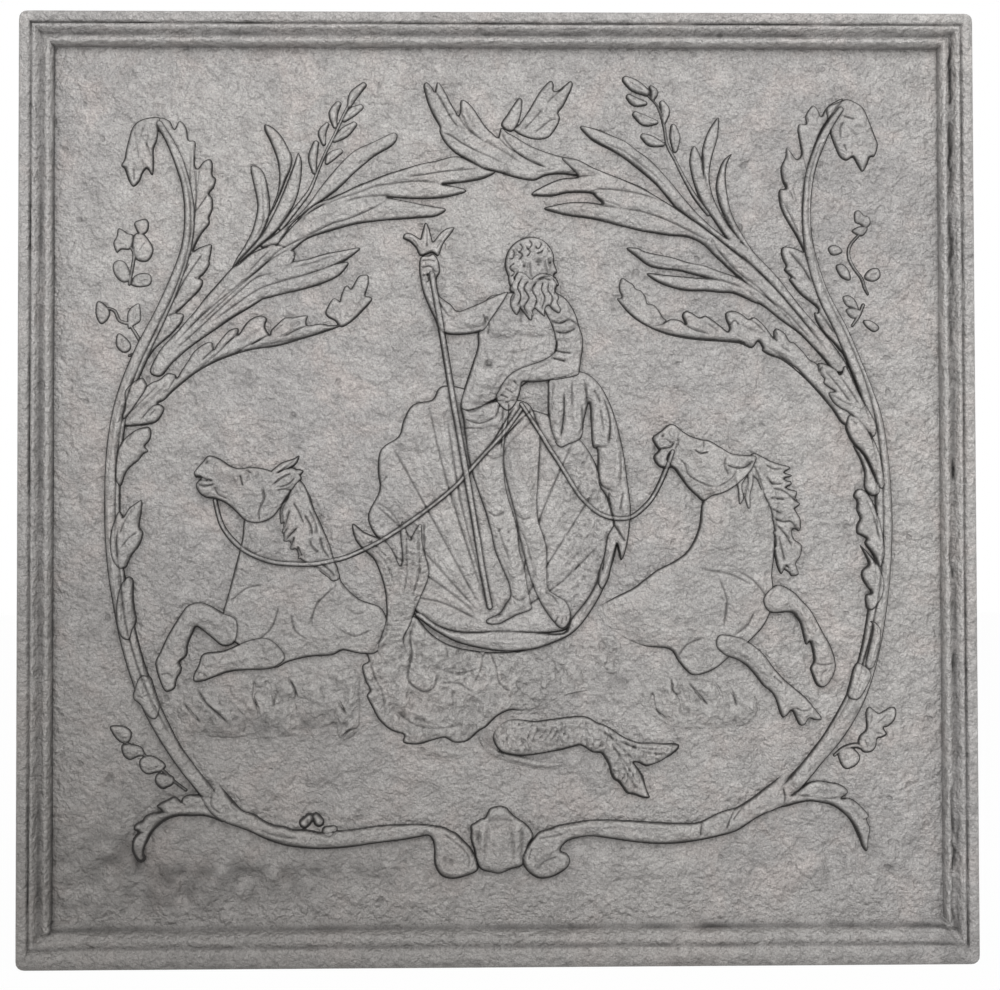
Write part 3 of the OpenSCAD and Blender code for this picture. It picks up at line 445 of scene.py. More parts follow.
scroll = {"height": 7, "groove": -0.9}
carve("scroll_left", "wreath_iron", [
    ("mass", scroll["height"], 5,
     "-188,114 -180,118 -174,112 -168,104 -164,100 -160,97 -154,95 -148,91 -141,88 -135,87 -129,85 "
     "-122,85 -112,83 -104,84 -92,85 -78,87 -63,88 -49,88 -41,87 -35,86 -31,84 -27,82 -23,78 -19,74 "
     "-16,69 -14,64 -14,59 -20,56 -28,54 -35,55 -39,59 -41,65 -41,72 -42,78 -45,81 -51,80 -63,78 -80,76 "
     "-94,74 -111,73 -125,74 -133,75 -140,77 -148,80 -156,84 -164,87 -172,90 -180,96 -187,107"),
    ("bar", 4, 1, "-122,89,6 -119,92,5;-113,90,6 -115,93,4;-108,84,6 -104,85,5"),
], [
    ("line", -1.4, 2.4,
     "-45,80 -52,79 -64,77 -80,75 -94,74 -111,73 -125,74 -134,76 -148,80 -160,86;"
     "-42,78 -41,70 -40,62 -37,57 -30,54 -20,56"),
    ("line", scroll["groove"], 1.6, "-36,83 -29,78 -23,73 -19,67 -20,61;-150,86 -140,82 -126,80"),
    ("line", -1.2, 1.4, "-122,85 -120,88 -120,91;-117,87 -113,86 -110,88;-110,82 -106,81 -103,84"),
    ("spot", -1.3, 5, "-34,66 -31,65"),
    ("line", 0.8, 2.5, "-146,87 -136,84 -128,83;-88,83 -70,85 -54,86 -42,85 -33,82;-37,62 -32,58 -25,58"),
    ("line", -1, 1.3, "-178,111 -180,105 -179,100 -174,96;-168,103 -166,99 -163,97"),
], lip=1.3, fade="-174,99 -185,112")
carve("scroll_right", "wreath_iron", [
    ("mass", scroll["height"], 5,
     "22,80 25,83 32,85 37,87 43,88 49,89 57,90 74,90 90,89 106,88 123,88 131,91 137,94 143,96 149,97 "
     "153,98 160,102 168,106 172,102 168,95 160,90 154,86 147,82 135,79 119,76 102,75 86,76 72,78 57,80 "
     "45,78 40,75 38,71 42,69 44,65 42,60 36,56 30,54 24,54 19,57 15,62 14,67 17,74"),
    ("mass", scroll["height"] + 1, 5,
     "127,89 134,91 142,94 150,98 158,103 166,109 173,114 181,119 188,113 184,105 178,99 170,95 160,91 "
     "150,85 142,81 133,79 126,80 125,84"),
], [
    ("line", -1.4, 2.4,
     "42,77 50,79 60,79 72,78 86,76 102,75 119,76 135,79 147,82 156,88;20,57 25,54 31,54 37,57 42,61"),
    ("line", scroll["groove"], 1.6, "25,62 28,65 36,68;24,79 30,80 40,82;20,73 18,66"),
    ("line", -1.3, 1.5, "127,89 126,84 126,80;148,97 144,90 142,84;152,98 146,90;178,110 179,104 178,99"),
    ("line", -0.6, 4, "150,90 160,95 172,99;130,83 142,84"),
    ("line", 0.8, 2.5, "30,83 44,86 60,87 80,87 100,86 118,85;23,66 27,70 34,72;130,87 142,91"),
    ("spot", -1, 4, "24,61"),
], lip=1.3, fade="174,104 185,115")

buds = {"height": 2.2, "stalk": 1.6}
carve("buds_left", "wreath_iron", [
    ("bar", buds["stalk"], 1,
     "-237,141,1.5 -228,137,1.5 -222,132,1.5 -210,122,1.5 -204,116,1.5 -196,110,1.5"),
    ("mass", buds["height"], 4,
     "-243,150 -242,146 -238,141 -232,140 -230,146 -235,150;"
     "-236,138 -235,132 -231,129 -226,131 -222,132 -224,137 -231,139;"
     "-225,128 -224,123 -220,120 -215,121 -211,122 -209,126 -216,131 -222,131;"
     "-214,120 -215,115 -211,111 -207,112 -204,114 -204,118 -209,120"),
], [
    ("line", -0.7, 1.3, "-240,147 -236,143 -232,143;-233,134 -229,132 -225,134;-222,125 -218,123 -213,125"),
], lip=0.9)
carve("buds_right", "wreath_iron", [
    ("mass", buds["height"], 4,
     "231,146 231,153 231,157 233,160 236,158 239,156 243,158 247,160 250,158 249,152 245,148 242,147 "
     "244,143 241,141 238,140 237,135 234,132 229,132 226,137 227,142;"
     "213,132 215,124 219,121 225,124 227,129 223,134 219,135"),
    ("bar", buds["stalk"], 1, "230,134,3 224,136,3 216,134,2 211,130,2"),
], [
    ("line", -0.7, 1.3, "238,150 244,155;234,150 235,157;237,144 242,143;230,140 232,135"),
], lip=0.8)

sprig = {"leaf": 1.1, "stalk": 1.2}
carve("sprig_left", "wreath_iron", [
    ("bar", sprig["stalk"], 1,
     "-222,386,2 -228,396,2 -231,402,1.5 -229,412,1;-231,402,2 -238,404,2 -241,410,2 -246,412,1.5;"
     "-232,427,2 -230,438,2 -229,446,2 -231,450,1.5;-222,386,2 -232,382,1.5"),
    ("mass", sprig["leaf"], 3,
     "-240,457 -239,462 -236,461 -233,459 -230,458 -230,453 -232,449 -237,449 -240,447 -242,453;"
     "-229,465 -227,460 -225,458 -221,460 -220,465 -222,468 -227,467;"
     "-229,458 -224,459 -220,455 -217,449 -219,443 -223,441 -228,443 -230,450;"
     "-242,440 -239,442 -235,441 -232,436 -231,430 -235,428 -239,430 -242,435;"
     "-231,427 -229,432 -224,434 -219,433 -218,429 -220,426 -226,425 -230,426;"
     "-233,401 -233,409 -230,413 -226,415 -225,411 -225,404 -229,401 -232,399;"
     "-240,394 -238,396 -234,393 -231,389 -232,385 -236,384 -240,388;"
     "-252,416 -247,414 -244,409 -246,404 -250,402 -253,408"),
], [
    ("line", 0.5, 1.5, "-236,453 -240,457;-236,433 -239,438;-226,429 -221,431;-229,405 -227,412"),
    ("line", -0.5, 1.2, "-226,448 -222,454;-235,387 -237,393"),
], lip=0.75)
carve("sprig_right", "wreath_iron", [
    ("bar", sprig["stalk"], 1,
     "229,459,1.5 223,452,2 222,445,2 225,438,2 230,431,2 232,425,2 234,421,1.5;"
     "231,414,2 228,407,2 224,401,1.5"),
    ("mass", sprig["leaf"] * 0.8, 3,
     "226,473 229,474 232,471 235,470 236,466 233,463 230,465 226,467;"
     "224,461 229,458 232,459 234,463 229,464;209,450 211,446 215,446 218,448 216,451 212,452;"
     "218,419 222,420 226,417 228,411 224,412 220,414;220,411 223,406 228,406 230,410 225,412;"
     "231,404 236,404 241,400 238,397 233,400;232,433 236,437 241,437 242,432 238,429 233,430;"
     "214,439 218,440 222,436 223,430 218,431 215,435"),
], [
    ("line", -0.5, 1.2, "228,466 232,468;236,433 240,434"),
], lip=0.45)

plumes = {"height": 4, "vein": -1.1}
carve("plume_right", "wreath_iron", [
    ("mass", 1.8, 3,
     "10,525 13,528 16,532 20,538 24,545 28,551 33,556 35,554 35,550 38,550 42,553 46,556 47,553 44,546 "
     "41,540 38,536 39,533 38,529 35,524 31,520 24,519 16,521;"
     "2,528 6,535 10,541 13,545 15,544 15,540 14,534 12,528 8,524"),
], [
    ("line", -0.8, 1.3, "31,542 36,547 42,552;16,525 22,531 28,538;23,523 28,527 33,531 38,532"),
    ("line", 0.5, 3, "14,528 22,539 30,550;30,534 40,546"),
], lip=0.8)
carve("plume_left", "wreath_iron", [
    ("mass", plumes["height"], 4,
     "-47,553 -45,555 -42,552 -40,549 -39,553 -38,555 -36,553 -33,548 -30,542 -27,537 -25,534 -24,538 "
     "-24,542 -23,544 -20,543 -16,539 -12,533 -8,527 -4,523 0,520 2,526 6,523 10,521 20,515 30,511 "
     "40,508 50,506 60,501 66,498 62,496 50,496 40,497 30,496 22,493 10,495 0,498 -10,500 -15,503 "
     "-20,506 -25,509 -28,511 -32,515 -35,519 -37,524 -37,527 -41,534 -44,541 -46,548"),
], [
    ("line", plumes["vein"], 1.3,
     "-40,550 -37,545 -33,538 -29,531 -25,526;-30,542 -24,532 -20,526 -15,521;"
     "-24,537 -20,528 -15,522 -10,518;0,520 6,514 12,510 20,505 30,501;"
     "2,525 4,519 8,514 14,509 22,505 30,501;-36,523 -30,521 -24,517 -17,513 -11,510"),
    ("line", -0.7, 1.2,
     "-11,510 -4,507 2,504;-22,518 -19,519;-8,517 0,513 8,508 16,503;-28,535 -31,534;"
     "34,496 46,498 60,499;24,498 36,500"),
    ("line", -0.6, 3, "-20,539 -18,532 -14,525;8,509 18,505 28,501;30,508 44,504 58,500"),
    ("line", 0.6, 2.5, "-43,550 -38,538 -30,526 -18,517;-34,548 -26,534;-15,533 -6,524"),
], lip=1.2)

sprays = {"berry": 3.2, "stalk": 1.6}
carve("berries_left", "wreath_iron", [
    ("bar", sprays["stalk"], 1,
     "-137,462,3 -128,474,3 -119,486,2.5 -114,498,2 -109,510,2 -103,522,2 -98,533,2 -93,543,1.5"),
    ("bar", sprays["berry"], 0.9,
     "-116,498,3 -117,507,6 -115,516,4;-110,516,3 -111,523,5.5 -108,528,3;"
     "-103,527,3 -104,535,6 -101,541,4;-94,540,3 -91,547,6 -85,553,4;-108,504,3 -105,508,6 -100,511,4;"
     "-103,518,3 -97,523,7 -91,528,4;-97,531,3 -92,536,6 -87,539,4"),
], [
    ("line", -0.6, 1.2,
     "-116,500 -115,513;-110,517 -109,525;-102,529 -101,538;-93,541 -88,550;-107,505 -101,510;"
     "-102,519 -93,526;-96,532 -89,538"),
], lip=1.1)
carve("berries_right", "wreath_iron", [
    ("bar", sprays["stalk"], 1,
     "133,472,3 125,482,3 118,494,2.5 112,506,2 107,516,2 105,528,2 101,540,1.5 95,547,1.5"),
    ("bar", sprays["berry"], 0.9,
     "94,549,5 87,553,8 81,557,5;98,545,3 99,549,5 97,552,3;93,542,3 87,543,6 83,546,4;"
     "100,530,3 93,531,7 87,535,4;104,516,3 97,518,7 92,521,4;105,530,3 106,537,6 104,542,4;"
     "112,512,3 112,520,7 111,527,4"),
], [
    ("line", -0.6, 1.2,
     "92,550 83,556;92,542 85,545;99,530 89,534;103,516 94,520;105,531 105,541;112,513 111,525;"
     "96,551 95,545"),
], lip=1.1)

palm = {"blade": 5, "leaf": 4.5, "vein": -1.2}
carve("palm_left", "wreath_iron", [
    ("mass", palm["leaf"], 5,
     "-147,528 -142,526 -137,521 -133,514 -130,507 -131,500 -134,493 -137,485 -141,476 -146,467 -150,459 "
     "-155,452 -160,446 -152,455 -146,467 -142,477 -139,485 -138,492 -138,498 -139,505 -141,511 -144,518 "
     "-147,524;-126,510 -124,505 -124,497 -125,490 -127,482 -131,473 -136,465 -142,458 -150,451 -160,443 "
     "-165,440 -155,451 -148,460 -144,467 -140,475 -136,484 -132,494 -129,502 -127,508;-156,500 -154,502 "
     "-150,500 -147,495 -145,487 -144,479 -144,472 -146,465 -150,456 -156,449 -163,442 -168,436 -165,443 "
     "-160,451 -155,461 -152,473 -152,480 -154,490"),
    ("mass", palm["blade"], 6,
     "-219,372 -213,385 -206,393 -203,396 -197,403 -190,411 -184,419 -176,428 -168,437 -163,440 -156,446 "
     "-148,450 -141,452 -134,450 -128,446 -134,432 -147,419 -157,412 -167,406 -177,399 -187,392 -195,386 "
     "-205,377 -212,369;-150,451 -140,459 -130,467 -121,476 -113,487 -106,496 -99,504 -90,512 -79,517 "
     "-66,523 -64,519 -68,514 -78,508 -90,498 -98,490 -105,484 -118,475 -130,465 -140,450;-140,452 "
     "-120,474 -105,482 -98,485 -90,489 -80,493 -70,497 -60,500 -50,503 -40,505 -27,508 -18,505 -8,500 "
     "-2,498 -10,494 -20,492 -28,491 -35,490 -28,489 -21,487 -22,485 -35,482 -50,481 -70,482 -60,480 "
     "-50,478 -40,476 -34,475 -34,473 -40,470 -50,469 -62,468 -75,467 -90,465 -105,461 -120,456 -130,448 "
     "-150,432 -160,430;-87,450 -100,448 -110,446 -120,443 -130,441 -138,438 -146,433 -150,428 -147,421 "
     "-136,424 -125,430 -115,434 -105,438 -95,443;-95,441 -110,438 -122,434 -135,430 -150,427 -152,418 "
     "-147,418 -135,421 -122,424 -112,427 -103,431 -98,435"),
], [
    ("line", palm["vein"], 1.5,
     "-141,456 -125,468 -105,481 -90,488 -70,496 -50,502;-69,481 -75,477 -85,472 -95,468 -105,465 "
     "-115,460 -125,455 -138,448 -150,437 -165,425 -185,408 -205,388;"
     "-130,450 -142,443 -155,432 -172,417 -190,400;-141,434 -152,431 -162,423 -172,414 -187,400 -202,386;"
     "-148,450 -141,452 -134,450"),
    ("line", -1, 1.3,
     "-122,471 -110,477 -100,481 -90,484 -80,488 -70,490 -50,492 -35,490;-97,479 -85,482 -69,483;"
     "-105,438 -118,434 -135,429 -150,424 -165,414 -180,403;"
     "-150,457 -146,465 -141,475 -137,484 -132,495 -128,505;-163,440 -168,437 -176,427 -186,416;"
     "-58,495 -48,496 -35,498 -14,500"),
    ("line", -0.7, 1.3,
     "-149,490 -148,478 -148,468 -151,459;-147,470 -149,462 -154,455;-128,484 -132,473 -138,463;"
     "-90,502 -78,508 -67,515;-143,449 -151,441 -160,431;-170,425 -182,412 -196,398;"
     "-100,446 -115,441 -130,437;-145,421 -158,414;-110,435 -124,431"),
    ("line", -0.5, 4, "-140,437 -125,439 -112,442;-50,500 -32,503;-126,503 -126,492;-155,425 -170,412"),
    ("line", 0.6, 3, "-125,470 -104,486 -84,502;-80,472 -60,474 -44,474"),
], lip=1.2)
carve("palm_right", "wreath_iron", [
    ("mass", palm["leaf"], 5,
     "139,533 140,530 139,520 136,510 134,500 134,492 136,483 140,474 146,464 152,456 148,452 140,462 "
     "134,472 130,482 129,492 129,500 129,511 131,519 134,526;124,515 122,512 121,505 122,498 124,490 "
     "128,480 134,471 142,461 150,453 154,455 146,461 141,470 136,480 132,490 130,498 129,506 126,513;"
     "148,510 143,506 140,500 138,492 138,485 141,474 146,464 152,455 160,446 166,442 160,450 155,458 "
     "150,467 147,475 145,485 144,495 145,504"),
    ("mass", palm["blade"], 6,
     "221,374 213,387 205,397 197,406 188,417 178,430 168,441 160,449 152,455 146,456 136,457 146,440 "
     "155,428 160,418 168,413 178,405 190,396 198,388 206,379 213,371;52,527 60,526 66,524 73,521 80,518 "
     "88,512 95,507 102,500 110,491 119,480 130,468 142,458 154,448 142,444 131,456 120,466 110,478 "
     "100,490 90,499 80,507 72,512 64,516 58,520;40,507 50,506 60,501 70,497 80,493 90,489 100,483 "
     "110,477 122,469 135,459 150,448 155,430 140,442 130,452 120,457 110,458 103,459 90,461 78,464 "
     "62,468 48,470 38,472 29,475 35,477 45,479 58,479 66,478 62,482 58,485 44,485 34,483 21,484 30,490 "
     "40,494 50,495 46,500;81,450 88,450 92,448 100,446 110,444 120,441 130,439 138,436 150,432 158,428 "
     "164,420 150,424 135,430 125,433 113,436 103,437 95,439 88,444;94,434 105,433 116,432 128,431 "
     "140,431 152,428 160,422 164,415 150,421 140,422 130,423 120,423 110,425 100,429"),
], [
    ("line", palm["vein"], 1.5,
     "40,507 50,505 60,501 70,497 80,493 90,488 100,483 110,477 122,469 135,459 147,449 160,438 175,424 "
     "192,404 208,384;108,478 118,471 130,463 145,451 158,441 172,428 188,410 204,390;"
     "135,454 140,447 150,436 165,424 172,417 184,407 198,391;150,432 158,427 170,418 182,406 196,390"),
    ("line", -1, 1.3,
     "59,485 62,487 70,487 80,486 90,484 100,481 108,478;"
     "77,475 90,473 100,470 110,466 120,461 130,456 135,454;35,477 45,479 55,479 65,477 77,475;"
     "147,438 135,445 125,450 115,455 103,459;130,513 130,500 132,490 136,480;134,492 137,482 142,472;"
     "138,488 141,476 148,464;22,486 30,490 40,494 50,495 61,496;152,446 160,440 172,428;"
     "93,434 105,433 116,432"),
    ("line", -0.7, 1.3,
     "64,518 73,514 80,511 90,503 100,495 108,487;63,481 70,479 78,476;96,441 110,438 124,436;"
     "172,413 182,404 192,394;128,431 142,429 154,425;110,480 122,468 136,458"),
    ("line", -0.5, 4,
     "100,442 112,439 124,437;182,418 192,406 200,396;144,500 145,488 149,474;42,504 56,500 70,494"),
    ("line", 0.6, 3, "84,510 100,497 116,479;45,475 62,474 80,470"),
], lip=1.2)

lobes = {"height": 4.5, "vein": -1}
carve("frond_left", "wreath_iron", [
    ("mass", lobes["height"], 5,
     "-215,527 -213,532 -207,530 -204,525 -201,530 -198,528 -196,524 -195,518 -191,517 -191,510 -191,502 "
     "-189,500 -186,504 -182,506 -180,503 -180,496 -178,493 -179,488 -182,484 -180,481 -180,474 -182,469 "
     "-182,465 -186,460 -189,455 -192,448 -188,450 -181,452 -181,447 -182,442 -182,439 -185,434 -188,431 "
     "-186,429 -187,425 -190,421 -195,416 -200,411 -202,409 -198,408 -199,403 -203,398 -208,393 -216,386 "
     "-222,378 -228,378 -223,388 -218,397 -213,407 -208,418 -204,430 -201,440 -198,450 -196,462 -196,475 "
     "-197,486 -199,496 -201,504 -203,512 -207,518 -213,523"),
], [
    ("line", lobes["vein"], 1.3,
     "-191,500 -190,490 -190,480 -191,470 -194,457;-183,483 -187,477 -190,473;-192,447 -197,441 -201,431;"
     "-185,447 -190,440 -198,428 -204,416;-188,430 -191,431;-200,410 -207,407"),
    ("line", -0.7, 1.2,
     "-188,499 -189,488;-193,512 -194,490 -194,478 -195,466;-196,447 -201,436;-194,440 -199,431;"
     "-206,417 -213,402;-209,406 -211,401"),
    ("line", -0.7, 3.2, "-188,424 -195,419 -200,415;-192,470 -194,462;-203,527 -203,522;-205,401 -210,395"),
], lip=1.25)
carve("frond_right", "wreath_iron", [
    ("mass", lobes["height"], 5,
     "219,545 213,543 208,539 205,534 203,538 200,541 197,538 195,534 195,529 191,529 190,525 191,518 "
     "192,510 189,507 183,514 182,508 179,501 180,493 182,488 178,487 178,480 180,473 185,464 189,457 "
     "193,448 188,450 181,451 179,448 180,443 182,439 181,436 185,432 184,430 186,427 191,421 196,417 "
     "202,412 202,409 200,409 201,404 206,396 212,390 218,383 224,379 226,384 219,392 216,400 211,410 "
     "207,420 203,430 200,440 197,448 195,455 194,465 194,475 195,485 196,495 198,505 201,515 205,525 "
     "211,534"),
], [
    ("line", lobes["vein"], 1.3,
     "183,449 188,443 193,437 198,428;193,447 197,440 202,430 208,416;181,478 186,468 190,459;"
     "202,411 206,405 212,396;185,432 188,430"),
    ("line", -0.7, 3, "192,500 194,490 193,478 194,463;190,505 186,510;184,447 190,440 197,429"),
    ("line", -0.6, 1.2, "184,487 187,480;186,489 189,478;192,512 195,500"),
], lip=1.25)

sideLeaves = {"height": 4.5, "vein": -1.1}
carve("side_leaf_left", "wreath_iron", [
    ("mass", 1.6, 3,
     "-99,400 -103,404 -107,406 -109,409 -107,414 -104,418 -101,417 -100,416 -99,420 -97,425 -95,426 "
     "-93,424 -91,427 -88,432 -84,433 -82,432 -82,427 -84,420 -81,419 -80,417 -85,411 -92,404"),
    ("mass", sideLeaves["height"], 4,
     "-99,401 -106,401 -112,402 -120,401 -121,404 -120,407 -124,407 -129,406 -134,406 -139,402 -143,398 "
     "-144,395 -147,400 -146,405 -149,407 -154,406 -159,402 -162,397 -164,395 -164,399 -169,398 -173,394 "
     "-177,389 -179,386 -180,390 -184,390 -191,385 -195,379 -199,373 -202,368 -203,370 -208,371 -213,367 "
     "-218,365 -223,361 -229,354 -236,345 -235,338 -226,338 -219,339 -214,341 -210,348 -212,351 -214,352 "
     "-210,354 -205,359 -199,364 -190,371 -180,377 -168,382 -155,386 -140,388 -125,392 -112,396"),
], [
    ("line", -1.4, 2,
     "-103,399 -112,397 -125,393 -140,390 -155,387;-155,387 -168,383 -180,378 -190,372 -205,360 -213,353"),
    ("line", sideLeaves["vein"], 1.3,
     "-144,395 -150,392 -156,388;-120,401 -127,398 -135,394;-164,395 -170,390 -178,382 -187,375;"
     "-179,386 -186,379;-203,368 -207,361 -211,358;-212,351 -217,350 -224,342;-149,392 -158,388 -165,384"),
    ("line", -0.7, 3, "-148,400 -155,395 -165,389;-206,366 -215,357 -224,349 -232,342;-125,403 -131,400"),
    ("line", -0.7, 1.2,
     "-213,364 -222,355 -231,346;-215,348 -219,344;-157,403 -164,396 -173,388;-135,402 -142,396"),
    ("line", 0.5, 2.5, "-96,403 -90,415 -86,428;-98,403 -97,420;-100,403 -104,414;-94,402 -84,416"),
], lip=1.1)
carve("side_leaf_right", "wreath_iron", [
    ("mass", 2, 3,
     "77,415 75,418 78,419 76,424 77,430 79,431 82,429 85,427 87,424 90,423 93,419 94,415 98,414 101,411 "
     "104,406 106,404 102,399 95,400 88,404 82,409"),
    ("mass", sideLeaves["height"], 4,
     "95,400 104,396 112,394 125,392 140,391 152,390 160,387 164,391 167,387 167,385 172,382 178,380 "
     "185,375 192,369 200,361 206,354 211,348 217,339 224,338 222,350 213,363 206,371 201,377 197,379 "
     "192,385 187,390 184,391 181,396 176,399 174,397 174,393 171,397 167,402 162,406 158,405 154,408 "
     "149,410 144,409 144,405 146,400 145,397 142,399 137,403 131,407 127,406 122,409 118,410 116,407 "
     "118,402 115,404 109,405 103,402 98,401"),
], [
    ("line", -1.5, 2.2,
     "97,399 104,397 112,395 125,393 140,392 152,391 160,388;"
     "167,386 172,383 178,381 185,376 192,370 200,362 208,353"),
    ("line", sideLeaves["vein"], 1.3,
     "118,401 124,398 132,396;145,397 141,400;159,405 164,401 169,396;146,401 149,404 152,401;"
     "174,393 176,391"),
    ("line", -0.7, 1.2,
     "167,389 175,384 184,378 194,369;150,395 156,392 160,391;151,392 156,390;178,388 184,384;"
     "132,402 139,397"),
    ("line", -0.7, 2.8, "152,402 160,398 169,395;172,386 182,380 192,371;209,357 217,353 222,350"),
    ("line", 0.5, 2.5, "96,402 86,414 80,427;98,402 92,412;94,402 84,409"),
], lip=1.1)

flowers = {"petal": 3.2}
carve("flower_left", "wreath_iron", [
    ("mass", flowers["petal"], 5,
     "-213,532 -220,532 -226,530 -230,526 -232,520 -234,512 -235,506 -237,502 -235,500 -233,494 -231,490 "
     "-229,489 -226,492 -224,497 -221,500 -218,496 -217,500 -217,506 -217,512 -215,518 -214,525"),
], [
    ("line", -0.9, 1.3,
     "-234,502 -233,496 -231,491;-222,517 -220,512 -218,507;-222,500 -218,496;-229,500 -229,492"),
    ("line", -0.5, 1.2, "-229,524 -227,514 -226,506;-222,528 -225,520;-220,522 -221,514;-224,506 -223,500"),
    ("line", 0.5, 3, "-224,526 -230,510;-219,526 -219,512"),
], lip=1.1)
carve("flower_right", "wreath_iron", [
    ("mass", flowers["petal"], 5,
     "208,539 214,542 221,545 227,543 232,539 236,530 239,522 241,516 239,509 236,508 234,503 231,499 "
     "228,503 225,508 221,506 217,508 214,514 211,522 209,530"),
], [
    ("line", -0.9, 1.3, "217,520 217,526 219,530;231,500 234,505 235,509;219,516 221,512;219,534 226,532"),
    ("line", -0.8, 3.5, "236,527 239,520 240,512"),
    ("line", -0.5, 1.2, "224,512 225,508;228,506 229,502;223,526 228,520"),
    ("line", 0.6, 4, "214,536 225,536 233,526"),
], lip=1.1)

stems = {"height": 6.5, "groove": -1.3}
carve("stem_left", "wreath_iron", [
    ("bar", stems["height"], 0.9,
     "-213,528,4 -206,516,5 -200,502,6 -196,488,6 -194,470,7 -196,450,7 -203,429,8 -212,408,9 "
     "-222,388,10 -230,370,10 -236,352,10 -240,332,10 -242,308,10 -242,275,10 -240,248,10 -236,226,11 "
     "-232,205,11 -226,184,11 -218,163,11 -210,147,10 -203,135,9 -196,125,9 -188,115,9 -178,103,9 "
     "-168,95,9"),
], [
    ("line", stems["groove"], 1.6,
     "-209,520 -199,500 -194,480 -194,455 -202,426 -214,400 -226,374 -235,346 -239,316 -240,280 -237,245 "
     "-233,214 -226,188 -216,164 -206,146 -194,128 -184,114"),
    ("line", 0.8, 2.2,
     "-216,402 -228,375 -238,345 -242,316 -244,280 -241,245 -236,212 -229,184 -220,164 -208,143"),
], lip=1.2, fade="-186,113 -176,100")
carve("stem_right", "wreath_iron", [
    ("bar", stems["height"], 0.9,
     "217,538,4 210,528,5 204,516,6 199,503,6 196,488,6 195,468,6 197,448,7 205,421,8 216,399,9 "
     "225,378,9 232,360,9 238,340,10 242,310,10 243,280,11 242,250,11 238,218,12 233,192,12 226,170,12 "
     "218,154,12 208,139,11 198,127,10 189,116,10 180,107,10 170,100,10"),
], [
    ("line", stems["groove"], 1.6,
     "213,532 202,512 197,490 197,460 206,424 220,394 232,364 239,334 242,300 242,262 238,226 230,192 "
     "219,164 207,145 194,127"),
    ("line", 0.8, 2.2, "222,394 235,362 242,332 245,300 246,262 241,220 233,188 223,165 211,147 198,131"),
], lip=1.2, fade="188,114 179,104")

husks = {"height": 6.5, "vein": -0.9}
carve("husks_left", "wreath_iron", [
    ("mass", husks["height"], 4,
     "-236,344 -234,349 -234,358 -232,362 -228,366 -224,368 -222,366 -221,361 -228,350 -234,342;-239,320 "
     "-236,328 -231,333 -226,336 -220,337 -218,334 -219,329 -222,325 -220,322 -223,320 -226,316 -231,312 "
     "-234,308 -237,300 -240,306;-235,281 -232,286 -228,289 -224,291 -224,284 -225,278 -225,274 -223,271 "
     "-224,266 -226,262 -230,257 -232,253 -234,249 -238,249 -242,256 -243,268 -241,277 -238,284 -236,282;"
     "-239,214 -239,225 -237,236 -234,242 -231,243 -229,240 -229,230 -228,222 -227,216 -229,210 -231,204 "
     "-236,206;"
     "-229,168 -227,175 -225,180 -222,182 -218,180 -216,174 -214,168 -212,162 -214,155 -219,156 -224,163"),
], [
    ("line", husks["vein"], 1.3,
     "-240,316 -237,327;-233,309 -232,302 -233,295;-240,283 -242,272 -243,262;-238,274 -239,263 -238,254;"
     "-226,271 -231,268 -236,262;-229,334 -234,327;-229,286 -234,278 -237,270"),
    ("line", -1.2, 2.2, "-230,313 -226,317 -222,321;-231,254 -226,260"),
    ("line", -0.5, 2.5, "-232,361 -229,354;-235,235 -235,222;-221,178 -220,168"),
], lip=1.2)
carve("husks_right", "wreath_iron", [
    ("mass", husks["height"], 4,
     "202,377 208,376 213,373 216,370 218,375 221,373 226,362 232,350 238,338 236,330 228,338 220,346 "
     "216,348 211,352 208,358 212,359 209,361 205,364 205,367 202,371;"
     "219,337 221,344 228,342 236,330 241,316 243,300 240,298 237,306 233,315 229,321 224,326 221,331;"
     "224,325 229,321 233,315 237,306 240,296 236,293 231,298 231,308 228,317;224,293 226,297 230,297 "
     "234,293 238,285 241,272 243,258 240,248 236,256 231,263 232,266 229,268 226,270 226,275 228,279 "
     "226,284 226,290;228,262 233,257 239,249 242,240 241,230 236,222 232,222 231,230 235,232 232,236 "
     "229,241 229,246 233,250 231,256;"
     "232,197 234,205 235,212 233,214 236,214 240,208 239,196 235,185 230,186;"
     "221,176 223,184 226,188 231,185 234,180 230,171 225,165 219,167"),
], [
    ("line", -1.3, 2,
     "222,327 220,332 220,337;225,292 227,285 227,279 227,272 230,268;231,246 230,241 233,236;"
     "204,375 203,370 206,366;224,326 229,321 233,314 237,305"),
    ("line", husks["vein"], 1.3,
     "214,371 220,362 228,350;206,372 213,364 222,352;231,292 236,280 240,264;236,290 240,276;"
     "229,262 234,256 239,249;210,357 217,353 223,350;222,342 226,338"),
    ("line", -0.6, 3, "208,372 215,363 223,352;234,335 240,316"),
], lip=1.2)

